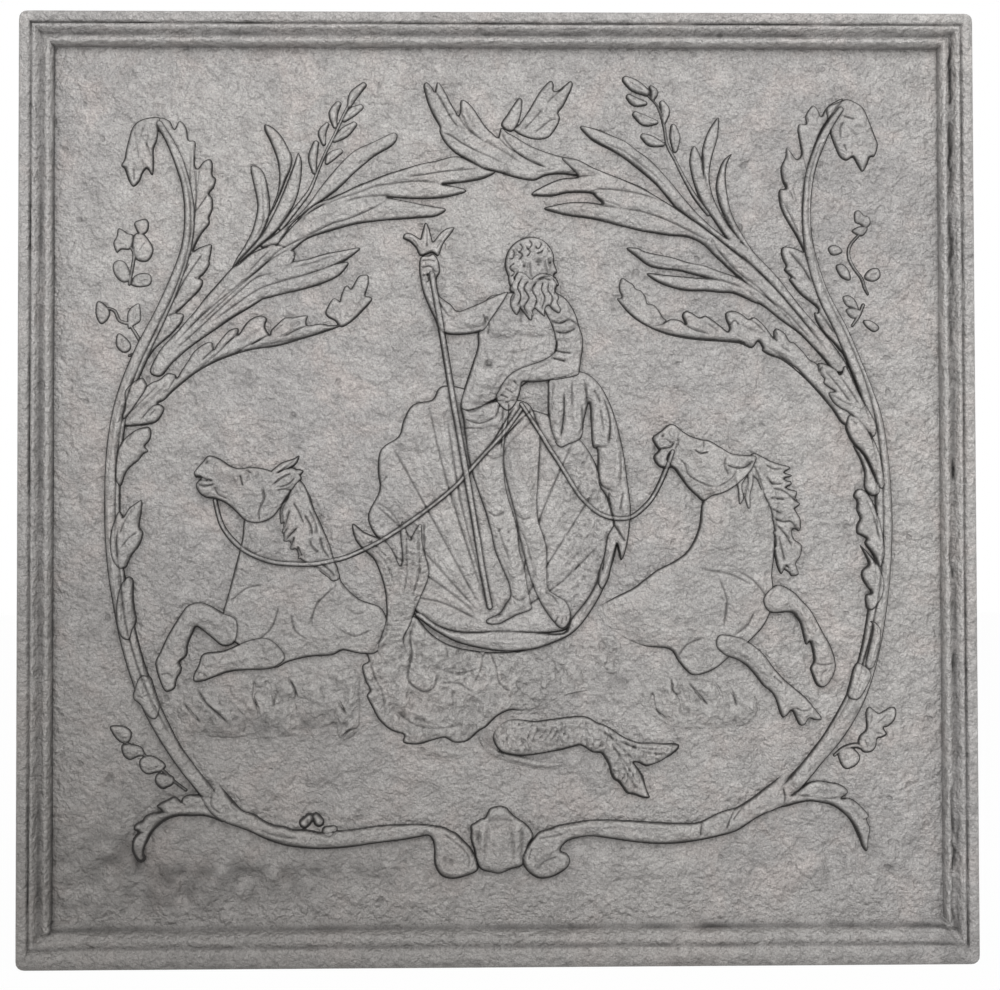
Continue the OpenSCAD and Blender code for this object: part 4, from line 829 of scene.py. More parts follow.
shell = {"height": 3.2, "rib": 0.7, "groove": -0.9}
carve("shell", "figure_iron", [
    ("mass", shell["height"], 4,
     "-32,363 -38,361 -42,354 -54,351 -60,341 -63,331 -74,323 -76,310 -75,297 -82,282 -79,271 -72,262 "
     "-62,240 -53,222 -40,212 -20,207 20,207 44,210 58,224 68,242 74,262 72,280 66,300 60,316 50,330 "
     "30,345 0,352 -18,360"),
], [
    ("line", shell["groove"], 1.6,
     "-12,224 -45,285 -68,327;-14,222 -56,268 -80,290;-9,228 -32,300 -44,350;-14,220 -40,240 -66,256;"
     "-8,228 -24,290 -32,340;-14,216 -34,226 -52,230;14,222 40,240 62,262;14,226 38,262 62,300;"
     "10,230 26,280 46,326"),
    ("line", shell["rib"], 3.4,
     "-12,224 -50,275 -76,306;-11,226 -38,292 -55,342;-14,221 -50,250 -76,274;-8,228 -28,300 -38,356;"
     "-14,218 -36,232 -60,244;14,224 42,252 64,282;12,228 34,274 56,314"),
    ("rough", 1.1, 3, "32,220 56,232 68,256 72,280 66,300 56,322 44,322 36,300 38,262"),
    ("rough", 0.5, 6, ""),
    ("line", -0.8, 1.4, "-47,276 -47,254;-78,290 -68,284 -62,275;-76,300 -70,306"),
], lip=1.1)

tails = {"height": 6, "scale": 0.8, "pitch": 6.5}
carve("coils", "sea_iron", [
    ("mass", 4.4, 7,
     "-83,196 -82,190 -86,187 -84,178 -81,172 -83,168 -79,160 -75,153 -68,147 -60,144 -60,139 -50,138 "
     "-40,141 -34,142 -28,139 -20,140 -13,146 -8,149 -2,155 6,159 14,159 22,160 33,165 44,169 58,172 "
     "70,176 76,186 77,196 74,204 66,206 52,205 44,206 34,201 20,197 0,195 -20,197 -34,201 -44,208 "
     "-53,218 -60,214 -70,208 -78,200"),
], [
    ("rough", 1.9, 5.2, ""),
    ("rough", 2, 11, ""),
    ("rough", 0.7, 2.8, ""),
    ("line", -1.5, 1.7, "-52,217 -56,206 -55,195 -57,185 -57,178 -52,173 -46,171 -41,174 -39,181"),
    ("line", -0.9, 1.4,
     "-81,190 -78,180 -74,172 -72,162;-64,158 -52,150 -38,148 -24,150;-40,186 -26,182 -12,186;"
     "-38,176 -26,176 -16,170;-76,176 -66,177 -63,172;-6,196 -2,186 0,176 8,170;"
     "20,196 24,190 34,188 36,180;22,182 26,173 34,172 40,166;44,204 47,192 53,186 52,178;"
     "58,184 64,178 70,178;-34,202 -32,192;-10,196 -12,184 -16,176;10,176 16,168 26,164"),
    ("line", 1, 5,
     "-70,180 -62,164 -48,156 -30,156;4,190 6,178 14,170;28,186 30,178;40,192 46,182 44,174;60,196 66,188"),
], fade="0,160 26,164", lip=1.2, creaseDirt=0.7)
carve("tail_right", "sea_iron", [
    ("mass", tails["height"], 7,
     "-4,142 0,149 8,153 22,152 31,153 49,155 56,154 61,151 67,149 76,143 82,140 89,138 98,138 111,137 "
     "112,135 109,132 102,127 97,125 92,124 87,126 84,126 86,123 89,118 91,113 93,107 94,104 90,104 "
     "84,106 80,107 77,111 75,114 72,116 70,120 69,124 67,128 64,132 58,133 51,137 45,136 37,134 20,131 "
     "8,131 0,134"),
], [
    ("scales", tails["scale"], tails["pitch"], "0,143 60,144"),
    ("rough", 1.5, 5, ""),
    ("rough", 0.6, 2.5, ""),
    ("line", -1, 1.6, "62,147 72,141 84,136 100,134;68,141 75,130 80,119 87,109;66,145 78,134 84,128"),
    ("line", -0.9, 1.4, "76,140 90,133 104,131;72,136 80,124 86,114"),
    ("line", 0.8, 2.4, "6,149 24,148 44,150 58,148"),
], creaseDirt=0.8, fade="12,140 2,156")

horseBodies = {"height": 7, "roll": 13, "crease": -0.9}
carve("horse_right_body", "sea_iron", [
    ("mass", horseBodies["height"], horseBodies["roll"],
     "129,291 126,273 119,259 110,252 100,247 92,241 84,235 72,229 62,222 66,214 78,205 92,199 107,197 "
     "113,189 121,181 130,182 138,186 145,192 152,197 161,205 167,212 171,221 173,232 172,243 173,252 "
     "174,264 175,276 176,290 172,302 166,310 156,312 147,306 140,299"),
], [
    ("line", horseBodies["crease"], 1.6,
     "126,248 134,246 141,245 150,242 157,238;138,242 142,232 143,225 141,211;150,246 160,240 168,230;"
     "148,206 156,212 160,220;112,192 118,200 128,204"),
    ("line", 1.1, 9, "134,286 138,272 136,258;160,296 160,276 156,258;146,236 150,222 148,208"),
    ("line", -0.7, 5, "146,284 148,268 146,254"),
    ("line", 0.8, 7, "84,224 104,224 124,216;100,208 118,208"),
    ("line", -0.6, 1.3, "131,280 136,276 141,277;134,262 140,259 146,261"),
    ("rough", 0.5, 11, ""),
], fade="96,214 80,200")
carve("horse_right_legs", "sea_iron", [
    ("mass", 7, 6,
     "138,206 148,205 156,202 166,194 172,186 179,178 186,172 193,166 198,160 203,153 199,152 195,153 "
     "192,149 189,149 187,152 184,158 181,155 178,154 176,158 174,165 171,170 166,174 157,185 150,190 "
     "142,193 136,199;175,237 185,233 191,227 197,220 204,207 209,198 212,187 210,179 205,173 200,174 "
     "197,181 196,185 198,190 196,201 193,200 190,212 187,217 183,220 170,220 166,229"),
], [
    ("line", -0.9, 1.5, "186,160 192,158 198,161;198,188 204,187 211,188;172,180 178,175"),
    ("line", 0.8, 4, "150,198 164,186 178,170;176,229 188,222 198,206"),
    ("line", -0.6, 1.3, "192,150 194,155 200,157;203,174 202,180 206,184"),
    ("spot", 0.8, 6, "167,184 192,217"),
])
carve("horse_right_mane", "sea_iron", [
    ("mass", 5, 4,
     "160,320 166,318 172,315 178,313 184,311 180,308 185,306 180,304 185,301 181,298 188,296 187,291 "
     "190,288 186,284 190,279 190,272 185,272 186,266 191,262 190,255 187,250 189,244 184,243 181,249 "
     "178,244 175,250 174,260 173,272 171,284 168,293 164,301 158,306 153,300 154,292 151,288 150,298 "
     "148,306 152,311"),
    ("bar", 6.5, 1,
     "161,314,4 164,306,5 167,298,5 170,290,3;158,310,4 158,302,4 156,294,4 157,286,2;"
     "166,316,4 173,311,4 181,311,2;168,310,5 172,303,5 178,301,4 184,302,1;"
     "169,303,4 176,298,5 183,295,4 188,290,1;171,296,5 178,291,5 183,286,5 189,279,2;"
     "172,288,5 177,281,5 184,278,4 189,272,2;174,279,5 180,272,5 183,265,5 190,260,2;"
     "175,270,5 178,262,6 183,255,5 187,247,2;175,260,4 177,252,4 183,246,2"),
], [
    ("line", -1.3, 1.5,
     "161,312 164,304 166,296 167,290;156,306 156,299 154,292;158,286 158,279;163,290 164,282;"
     "168,306 172,301 179,301;173,298 180,296 187,290;171,292 180,291;173,279 179,277 184,277 188,272;"
     "175,275 181,268 184,262;172,285 178,282;180,249 183,244;176,268 178,260 180,252;"
     "168,313 174,310 182,311"),
])
carve("horse_right_head", "sea_iron", [
    ("mass", 8, 8,
     "97,330 102,334 107,338 111,338 116,334 121,331 127,329 133,328 140,324 147,320 155,319 162,318 "
     "160,311 155,305 148,299 141,295 134,293 129,290 124,294 119,299 114,306 110,311 105,311 101,312 "
     "98,316 98,319 101,322 99,325"),
    ("bar", 9, 1, "143,315,5 148,315,7 155,315,7 161,317,3"),
], [
    ("line", -1.4, 1.4, "99,322 103,323 108,324 110,327;110,311 106,316 108,321"),
    ("line", -1, 1.5, "112,318 117,313 119,307 124,303 131,300 137,299;143,318 142,312 145,306"),
    ("line", 1.2, 6, "114,326 122,322 132,312;106,334 114,331 124,326"),
    ("line", -1.2, 1.2, "123,322 127,320 132,321;129,328 129,324"),
    ("spot", 1.2, 2.4, "127,322"),
    ("spot", -1.5, 2.4, "103,331"),
    ("line", 0.8, 2, "122,325 127,326 132,324"),
    ("line", -0.8, 1.2, "100,329 105,329 109,326;111,323 113,327 112,330"),
    ("line", -1.2, 1.4, "143,313 148,311 154,311 160,315"),
    ("line", -0.7, 1.3, "138,299 146,304 150,310"),
    ("rough", 0.5, 9, ""),
], fine=2, lip=1.2)
carve("horse_left_body", "sea_iron", [
    ("mass", horseBodies["height"], horseBodies["roll"],
     "-159,280 -150,283 -138,288 -128,296 -120,296 -116,285 -109,268 -104,255 -99,240 -88,229 -75,224 "
     "-70,214 -72,202 -78,195 -88,195 -98,197 -105,194 -119,193 -132,190 -141,186 -152,190 -160,198 "
     "-172,208 -173,220 -170,231 -165,250 -161,266"),
], [
    ("line", horseBodies["crease"], 1.6,
     "-168,228 -158,236 -148,238;-150,204 -142,212 -138,224;-104,236 -114,226 -118,214;"
     "-120,204 -128,210 -130,220;-100,210 -90,206 -80,210"),
    ("line", 1.1, 10, "-150,272 -152,254 -156,240;-126,280 -122,262 -116,246;-156,222 -150,208 -142,198"),
    ("line", -0.7, 6, "-138,276 -138,258 -136,244"),
    ("line", 0.8, 8, "-128,206 -110,206 -92,212"),
    ("line", -0.6, 1.3, "-160,262 -154,258 -148,260;-162,248 -156,245;-96,224 -90,220 -84,221"),
    ("rough", 0.5, 11, ""),
])
carve("tail_fluke_left", "sea_iron", [
    ("mass", tails["height"], 7,
     "-92,276 -90,266 -84,259 -78,253 -73,240 -71,228 -71,216 -74,206 -76,199 -74,190 -68,186 -60,188 "
     "-58,196 -60,204 -56,212 -54,218 -50,228 -44,243 -45,252 -48,264 -49,276 -54,270 -56,266 -58,272 "
     "-61,278 -62,268 -61,258 -62,250 -66,258 -70,264 -78,268 -85,271"),
], [
    ("line", -1, 1.4,
     "-88,271 -78,260 -70,250 -66,238;-58,270 -58,256 -58,244 -60,232;-51,270 -50,256 -50,246 -54,232;"
     "-82,266 -72,257 -66,250"),
    ("scales", tails["scale"], tails["pitch"], "-66,196 -66,240"),
    ("rough", 1.4, 4.6, ""),
    ("line", 0.9, 3, "-86,268 -74,254 -66,236;-53,262 -52,248 -56,234"),
], lip=1.2, creaseDirt=0.6, fade="-66,208 -66,190")
carve("horse_left_legs", "sea_iron", [
    ("mass", 7, 6,
     "-164,216 -174,221 -181,225 -188,227 -195,225 -199,220 -204,212 -208,205 -212,196 -215,189 -212,178 "
     "-209,172 -206,172 -203,174 -202,179 -199,185 -200,190 -196,194 -195,201 -192,208 -189,212 -181,206 "
     "-173,200 -165,203;-146,205 -158,203 -172,197 -185,195 -188,188 -191,182 -191,178 -186,178 -180,180 "
     "-168,184 -154,185 -142,186 -134,192 -138,200"),
], [
    ("line", -0.9, 1.5, "-212,182 -207,183 -203,180;-190,184 -185,183 -182,180"),
    ("line", 0.8, 4, "-172,212 -186,218 -198,212 -205,198;-150,196 -168,191 -182,189"),
    ("spot", 0.8, 6, "-196,215 -182,190"),
    ("line", -0.6, 1.3, "-199,218 -194,214;-180,194 -176,190"),
], lip=1.2)
carve("horse_left_mane", "sea_iron", [
    ("mass", 4.5, 4,
     "-126,304 -122,300 -119,293 -116,285 -112,277 -109,269 -107,261 -104,253 -101,247 -100,242 -104,240 "
     "-108,243 -112,246 -116,250 -121,252 -125,255 -127,260 -130,260 -131,265 -134,265 -135,270 -133,274 "
     "-136,278 -137,284 -134,290 -134,297 -130,301"),
    ("bar", 6.5, 1,
     "-127,301,5 -122,291,6 -118,281,6 -113,271,6 -108,262,4 -105,254,2;"
     "-130,299,4 -132,291,5 -135,284,5 -136,277,2;-127,295,5 -130,286,5 -132,278,5 -135,271,2;"
     "-124,290,5 -126,281,5 -130,273,6 -134,266,2;-121,284,5 -122,276,6 -126,268,6 -130,261,2;"
     "-118,277,5 -117,268,6 -121,260,6 -125,255,2;-114,269,5 -113,261,6 -112,254,6 -115,250,3;"
     "-110,262,4 -107,254,5 -103,247,4 -104,241,2"),
], [
    ("line", -1.3, 1.5,
     "-130,299 -133,291 -136,284 -135,277;-131,285 -133,278 -135,272;-126,274 -131,269 -134,265;"
     "-130,263 -128,268;-129,290 -125,283 -122,276;-122,282 -118,275 -117,269;-119,285 -115,277 -114,270;"
     "-118,266 -117,262 -113,258;-112,268 -110,260 -106,255;-116,250 -111,247 -105,242;"
     "-112,252 -106,247 -103,243;-126,262 -123,256"),
])
carve("horse_left_head", "sea_iron", [
    ("mass", 8, 8,
     "-124,305 -128,311 -134,311 -140,309 -148,311 -156,312 -163,311 -169,313 -175,317 -182,319 -186,315 "
     "-191,309 -190,306 -187,305 -190,301 -188,296 -184,293 -178,292 -171,289 -165,284 -160,279 -155,277 "
     "-149,277 -142,280 -137,286 -132,294 -127,301"),
    ("bar", 9, 1,
     "-141,308,5 -135,312,6 -129,315,4 -126,318,1;-139,302,4 -133,306,6 -127,308,5 -124,309,2"),
], [
    ("line", -1.5, 1.6, "-190,307 -185,305 -179,303;-189,301 -184,300 -178,301;-188,304 -182,303"),
    ("line", -1, 1.5, "-150,278 -150,285 -147,292 -148,299;-178,300 -176,295 -170,292"),
    ("line", 1.2, 6, "-174,310 -164,306 -152,296;-180,314 -170,311 -158,309"),
    ("line", -1.2, 1.3, "-162,309 -159,310 -155,308;-162,307 -161,303 -160,300"),
    ("spot", 1.2, 2.6, "-158,306"),
    ("spot", -1.6, 2.6, "-183,315"),
    ("line", 0.8, 2, "-164,305 -163,300"),
    ("line", -0.6, 2.4, "-155,311 -151,308 -152,304"),
    ("line", -1.1, 1.2,
     "-141,301 -136,305 -130,308;-138,299 -132,301 -128,305;-139,297 -134,298 -130,297;"
     "-139,308 -133,312 -128,316"),
    ("rough", 0.5, 9, ""),
], fine=2, lip=1.2)

chariot = {"rim": 6.5}
carve("chariot_rim", "figure_iron", [
    ("mass", chariot["rim"], 4,
     "-53,219 -47,214 -40,209 -27,202 -12,198 3,196 20,197 33,201 47,208 59,223 68,241 74,264 71,266 "
     "65,248 56,230 45,216 40,207 20,208 0,209 -20,208 -36,211 -49,220"),
], [
    ("line", 0.8, 2.2, "-44,214 -28,206 -8,203 12,202 30,205;50,216 62,236 70,256"),
], lip=1.2)

figure = {"body": 7, "limb": 7.5, "crease": -0.9, "muscle": 1}
hipCloth = (
    "-25,352 -18,346 -10,350 -2,354 6,360 16,366 32,368 31,358 26,347 21,341 13,333 6,326 2,319 -4,317 "
    "-8,321 -4,328 0,336 -7,337 -14,334 -25,331")
hipFolds = [
    ("area", 1.3, 2.2, hipCloth),
    ("line", -1.1, 1.3,
     "15,342 7,334 -1,325;9,348 2,337 -5,325;-22,342 -12,339 -2,343;21,347 13,341 4,331;1,352 -2,343;"
     "-23,336 -10,336;30,362 24,352 17,344"),
    ("line", 0.8, 2, "17,345 9,337 1,328;-20,345 -9,345;6,356 2,347;26,360 20,350"),
]
carve("leg_right", "figure_iron", [
    ("mass", figure["body"], 7,
     "4,352 2,330 2,316 6,297 10,282 13,266 19,243 24,230 29,221 35,213 39,210 43,212 45,219 42,227 "
     "36,231 31,235 30,243 30,258 29,265 25,278 24,290 25,306 26,328 24,340 18,352"),
], [
    ("line", figure["crease"], 1.5,
     "11,282 15,279 20,280;29,233 33,231 37,226;35,214 37,218;39,213 40,217;42,215 42,218;"
     "14,272 18,262 20,252"),
    ("line", figure["muscle"], 7, "15,334 17,314 16,298;23,270 27,256 26,240"),
    ("line", -0.7, 4, "4,322 7,306 10,292;22,300 22,290 21,282;20,264 21,252 22,240"),
    ("line", 0.8, 5, "12,290 18,291 22,287;16,276 20,274"),
    ("spot", 0.9, 5, "31,228"),
    ("rough", 0.4, 8, ""),
    *hipFolds,
], lip=1.2)
carve("leg_left", "figure_iron", [
    ("mass", figure["body"], 7,
     "-23,352 -22,340 -20,322 -17,308 -14,299 -11,290 -8,281 -5,270 -3,260 0,252 4,243 6,238 7,231 4,226 "
     "0,220 -8,216 -7,213 0,213 6,216 12,219 20,222 20,226 18,236 16,248 13,259 12,270 10,279 6,292 "
     "4,302 3,318 4,332 6,344 4,354 -10,351"),
], [
    ("line", figure["crease"], 1.5,
     "-7,284 -2,281 4,284;8,231 12,228 16,229;-3,217 1,218;-5,215 -1,216;-1,219 2,219;0,272 3,262 7,252"),
    ("line", figure["muscle"], 7, "-9,326 -8,312 -5,298;5,270 8,256 11,242"),
    ("line", -0.7, 4, "-16,324 -13,308 -9,294;2,306 3,296 4,288;-1,266 2,256 6,246"),
    ("line", 0.8, 5, "-6,290 0,291 4,288;-3,276 2,275"),
    ("spot", 0.9, 5, "13,225"),
    ("spot", -0.9, 2.6, "6,271 6,265 0,272 -2,268"),
    ("rough", 0.4, 8, ""),
    *hipFolds,
], lip=1.2)

drapery = {"height": 6.5, "fold": -1.6, "ridge": 0.9}
carve("drapery", "figure_iron", [
    ("mass", drapery["height"], 5,
     "50,372 58,369 66,360 73,344 78,324 81,303 83,284 81,265 77,253 74,263 71,252 69,242 65,235 62,238 "
     "63,247 66,257 68,268 72,276 70,285 68,292 63,300 62,308 62,322 59,325 58,340 57,352 54,342 52,330 "
     "44,326 38,324 33,332 31,345 31,360 32,367 42,369"),
], [
    ("line", drapery["fold"], 1.8,
     "31,358 31,344 34,331 38,326;41,358 41,346 39,330;54,366 56,350 58,330 60,325 68,324;"
     "69,326 70,340 66,356;62,322 62,308 65,300 72,296;69,296 70,284;72,276 77,268 80,264;"
     "52,350 53,338 50,331"),
    ("line", -0.9, 1.5,
     "26,364 23,354 20,346;28,362 27,356;34,364 33,352;46,366 46,350;64,348 66,334;60,360 64,352;"
     "75,340 77,318 76,300;78,296 76,284;12,356 15,348;66,262 65,246"),
    ("line", drapery["ridge"], 3,
     "36,352 37,338;48,352 48,338;61,356 60,340;72,336 75,314 73,300;79,300 80,284;74,262 77,256;"
     "64,258 63,242"),
    ("rough", 0.6, 6, ""),
], lip=1.2)
carve("torso", "figure_iron", [
    ("mass", figure["body"], 9,
     "-6,419 2,421 10,422 22,421 33,422 41,418 46,410 44,400 38,392 36,384 34,378 24,370 14,362 6,357 "
     "-2,354 -10,350 -18,347 -23,348 -24,352 -22,360 -20,366 -16,378 -13,388 -13,396 -9,404 -10,412"),
], [
    ("area", 1, 7,
     "-11,403 -8,398 0,394 8,394 13,398 13,408 4,415 -6,413;"
     "15,398 22,394 31,395 37,401 32,411 22,415 15,409"),
    ("area", 0.9, 9,
     "-12,390 -4,392 6,390 16,391 27,390 29,382 20,374 8,364 -4,358 -16,354 -20,358 -16,370 -13,380"),
    ("line", figure["crease"], 1.5, "-8,407 -6,401 -7,395;-15,380 -18,370 -23,356"),
    ("line", -0.6, 3, "-9,397 0,393 8,393 13,396 18,394 28,394 36,399;14,396 13,386"),
    ("line", -0.7, 3,
     "14,410 14,402;11,388 7,378 2,370 -2,362;-16,364 -8,361 2,362 12,366;-10,388 -7,380 -10,372;"
     "24,388 20,380"),
    ("line", -0.6, 2, "4,384 12,384 20,386;-2,374 4,375"),
    ("spot", -2.6, 5, "-6,376"),
    ("spot", 0.8, 1.6, "-6,377"),
    ("rough", 0.4, 9, ""),
], lip=1.2)

reins = {"height": 3}
carve("rein_left", "figure_iron", [
    ("bar", reins["height"], 1,
     "-178,291,3 -176,282,3 -173,274,3 -167,266,3 -160,260,3 -150,255,3 -140,252,3 -128,251,3 -116,251,3 "
     "-105,253,3 -94,256,3 -75,265,3 -55,278,3 -40,289,3 -27,300,3 -18,310,3 -8,321,3 4,334,3 14,348,3"),
], lip=1.6)
carve("rein_right", "figure_iron", [
    ("bar", reins["height"], 1,
     "14,351,3 20,342,3 26,333,3 32,323,3 38,314,3 49,296,3 55,289,3 62,283,3 69,280,3 76,279,3 83,280,3 "
     "89,284,3 95,290,3 100,298,3 105,309,3 109,321,3"),
], lip=1.6)
carve("arm_right", "figure_iron", [
    ("mass", figure["limb"], 6,
     "31,423 41,419 46,413 49,407 51,400 53,393 53,386 52,380 51,372 49,369 40,367 32,366 22,365 15,365 "
     "14,361 12,354 8,348 4,347 -1,352 -2,356 0,360 2,364 6,369 12,373 20,376 28,379 34,383 36,388 "
     "35,395 33,401 29,409 26,416"),
], [
    ("line", -1.4, 1.6,
     "31,404 38,402 45,404 51,400;35,397 42,396 49,399;33,386 39,384 46,383;34,380 42,378"),
    ("line", 0.9, 2.4, "33,401 41,400 48,402;36,393 44,393"),
    ("line", figure["muscle"], 7, "38,414 43,408 45,402;44,390 46,380;40,373 28,371 16,368"),
    ("line", figure["crease"], 1.1, "9,366 13,362;0,353 5,352;1,357 6,355;4,361 9,358"),
    ("rough", 0.4, 7, ""),
], fine=2, lip=1.2)
carve("arm_left", "figure_iron", [
    ("mass", figure["limb"], 6,
     "6,422 -3,419 -12,415 -19,412 -26,410 -30,414 -34,417 -38,421 -39,430 -37,435 -38,442 -41,446 "
     "-44,445 -49,444 -50,437 -49,429 -48,424 -46,418 -43,411 -40,405 -38,400 -34,396 -26,395 -16,396 "
     "-9,398 -5,404 0,411"),
], [
    ("line", -1.1, 1.3,
     "-49,437 -44,438 -40,436;-48,432 -43,433;-49,441 -44,442 -39,441;-45,434 -44,429 -46,428;"
     "-42,436 -38,434"),
    ("line", figure["muscle"], 8, "-4,413 -14,407 -24,404;-32,404 -38,410;-43,424 -42,414"),
    ("line", figure["crease"], 1.4, "-38,416 -34,410 -31,406;-10,408 -8,402 -10,398"),
    ("line", -0.6, 3, "-8,402 -18,399 -28,399;-26,408 -30,404"),
    ("rough", 0.4, 7, ""),
], fine=2, lip=1.2)

staff = {"height": 4.5}
carve("staff", "figure_iron", [
    ("bar", staff["height"], 1,
     "-42,433,4 -38,410,4 -33,380,4 -29,355,4 -24,327,4 -20,304,4 -15,275,4 -11,250,4 -6,224,4"),
], lip=1.8)
carve("trident_head", "figure_iron", [
    ("mass", 4.5, 2.6,
     "-49,445 -52,450 -56,454 -60,456 -59,459 -55,459 -50,456 -49,456 -48,460 -46,466 -44,463 -42,456 "
     "-41,454 -37,459 -33,462 -28,463 -30,459 -34,454 -36,450 -38,445 -42,447"),
], [
    ("line", -0.9, 1.2, "-50,450 -54,455 -58,457;-45,450 -45,462;-39,449 -35,456 -31,461"),
    ("line", 0.7, 1.4, "-48,449 -52,454;-41,450 -37,456"),
], fine=2, lip=1.4)

head = {"height": 7.6, "hair": 8.8, "brow": 1.1, "nose": 2.2, "curl": -1.2}
carve("head", "figure_iron", [
    ("mass", head["height"], 9,
     "9,430 7,437 6,443 8,449 12,453 18,456 24,456 30,453 34,448 35,444 35,441 36,438 37,435 35,433 "
     "35,429 32,425 26,424 20,424 14,426"),
    ("bar", head["hair"], 1,
     "8,434,5 7,440,6 9,447,6 14,452,6 21,454,6 28,452,5 32,448,3;"
     "12,430,5 13,435,5 12,441,6 15,447,5 21,450,5 27,449,3;9,428,5 8,434,4"),
], [
    ("line", head["brow"], 1.6, "21,442 24,444 28,443;31,443 33,444 35,443"),
    ("spot", -1.8, 3.4, "25,440 33,440"),
    ("line", 0.9, 1.2, "23,439 25,440 27,439;32,439 34,440"),
    ("line", head["nose"], 2, "30,442 31,438 32,435"),
    ("spot", 0.8, 2, "32,434"),
    ("spot", -0.6, 1.4, "30,433"),
    ("spot", 0.8, 5, "25,435"),
    ("line", -0.7, 1.4, "20,441 20,435 21,431"),
    ("line", 0.9, 1.4, "15,441 18,440 17,436 16,434"),
    ("spot", -1, 1.6, "16,438"),
    ("line", head["curl"], 1,
     "7,431 10,434 7,437 10,440;6,443 9,443 10,447 8,449;11,449 13,447 15,450 13,453;"
     "17,451 19,449 21,452 19,455;23,451 25,449 27,452 26,454;13,442 15,445 13,447;18,444 20,447 18,449;"
     "24,446 27,447 29,450;31,450 32,447;12,434 10,431 12,428"),
    ("line", 0.7, 1.3, "9,436 8,441;11,445 12,448;16,447 18,452;22,448 23,453;28,448 30,452"),
], fine=2, lip=1.2)

beard = {"height": 8.4, "lock": 9.2, "cut": -1.2}
carve("beard", "figure_iron", [
    ("mass", beard["height"], 7,
     "12,434 9,429 7,424 9,420 7,416 8,411 11,407 13,409 14,412 16,408 19,404 21,404 21,408 23,411 "
     "26,408 29,406 29,410 31,413 34,410 38,408 39,411 37,415 38,419 36,423 37,427 35,430 32,432 28,431 "
     "24,430 20,430 17,433 14,434"),
    ("bar", beard["lock"], 1,
     "13,431,4 10,426,4 11,421,4 9,416,4 11,410,3;17,430,3 14,425,4 17,420,4 14,415,4 17,409,3 20,405,1;"
     "21,428,4 18,423,4 21,418,4 19,413,4 21,407,2;26,428,4 24,423,4 26,418,4 24,413,4 28,408,2;"
     "30,428,4 30,423,4 32,418,4 30,414,3;34,428,3 33,423,4 36,418,4 34,414,3 38,410,2;"
     "31,432,2 27,432,3 23,430,3 20,427,2;32,432,2 35,430,3 37,427,2"),
], [
    ("line", beard["cut"], 1,
     "11,432 8,426 10,420 7,414;15,431 12,425 14,419 12,413;19,429 16,424 19,418 16,412 19,407;"
     "24,428 21,423 24,417 22,411;28,428 27,423 29,418 27,411;32,428 31,423 34,418 32,412;"
     "25,429 29,430 33,429;36,425 35,420"),
    ("line", -0.6, 0.7, "13,428 12,423;20,425 20,420;26,424 26,419;34,426 34,421"),
], fine=2, lip=1)

print("relief carved")

# the moulded border, from the plate's edge inwards: distance in, height over the field
moulding = {
    "corner": 5,       # radius of the plate's corners
    "step": 2.2,       # between two stations along a side
    "wave": 0.4,       # how far the old casting wanders
    "dip": 0.15,       # and how far it sinks in short waves
    "lump": 1.2,       # lumps on the foot's side, and the share of them on the others
    "lumpPitch": 11,
    "lumpShare": 0.35,
    "plain": 3,        # stations from the outer edge on without lumps
    "lessDark": (18, 0.5),    # from here inwards the crease is lighter at the top and the right
    "side": (
        (0, 7.2), (0.5, 8.9), (1.4, 9.6), (3.2, 9.9), (5.4, 9.8), (6.4, 9.5), (7, 8.7), (7.5, 7.9),
        (8, 8), (8.5, 8.8), (9.3, 9.4), (10.2, 9.2), (11.2, 8.2), (12.2, 6.8), (13.2, 5.7), (14.2, 5.2),
        (15.2, 5.4), (16.2, 6.2), (17.2, 6.8), (18.2, 6.7), (19.1, 5.9), (19.9, 4.3), (20.6, 2.2),
        (21.2, -0.2)),
    "foot": (
        (0, 7.2), (0.7, 8.8), (2, 9.5), (4.5, 9.8), (8, 9.7), (10.4, 9.2), (11.6, 8.4), (12.6, 7.6),
        (13.4, 7.3), (14.2, 7.5), (15.4, 8), (17, 8.2), (18.6, 7.9), (20, 6.9), (21.2, 5.2), (22.2, 3.2),
        (23.2, 1.5), (24.4, 0.6), (26.4, 0.3), (29.4, -0.4)),
    "off": -0.5,       # past the section
    "meet": 30,        # how far from a corner the two sections grow into one another
}
sides = {    # each one's section, the way along it and in from the edge, and its length
    "border_top": ("side", lambda a, d: (a, plateTall - d), plateWide),
    "border_bottom": ("foot", lambda a, d: (-a, d), plateWide),
    "border_left": ("side", lambda a, d: (-plateWide / 2 + d, plateTall / 2 + a), plateTall),
    "border_right": ("side", lambda a, d: (plateWide / 2 - d, plateTall / 2 - a), plateTall),
}


# the moulding's height at a distance in from the edge
def mouldingHeight(kind, inward):
    section = moulding[kind]
    return np.interp(inward, [s[0] for s in section], [s[1] for s in section], right=moulding["off"])


# slow wander of the old pattern: three waves, with their lengths in mm across and up, and shares
waves = {"slow": (31, 43), "middle": (13, 17, 0.6), "quick": (7.3, 9.1, 0.4)}


def wander(x, z, seed):
    across, up = waves["slow"]
    slow = np.sin(x / across + seed) * np.sin(z / up + 2 * seed)
    across, up, share = waves["middle"]
    middle = share * np.sin(x / across + z / up + 3 * seed)
    across, up, share = waves["quick"]
    return (slow + middle + share * np.sin(x / across - z / up + seed)) / 2


# the right side's cove, torn in places when the pattern left the sand, in mm
tear = {
    "often": (3, 12, 0.3),     # how sharply it comes and goes, over what length, and how much there is
    "worse": ((70, 45, 0.9), (520, 80, 0.7)),    # height, half length, how much more
    "middle": (16.2, 220, 2.4, 7),    # its distance in, how it leans, how far and how often it wanders
    "deep": 2.4,
    "half": 1.1,
    "start": (20, 12),         # where it begins, and over what length
}


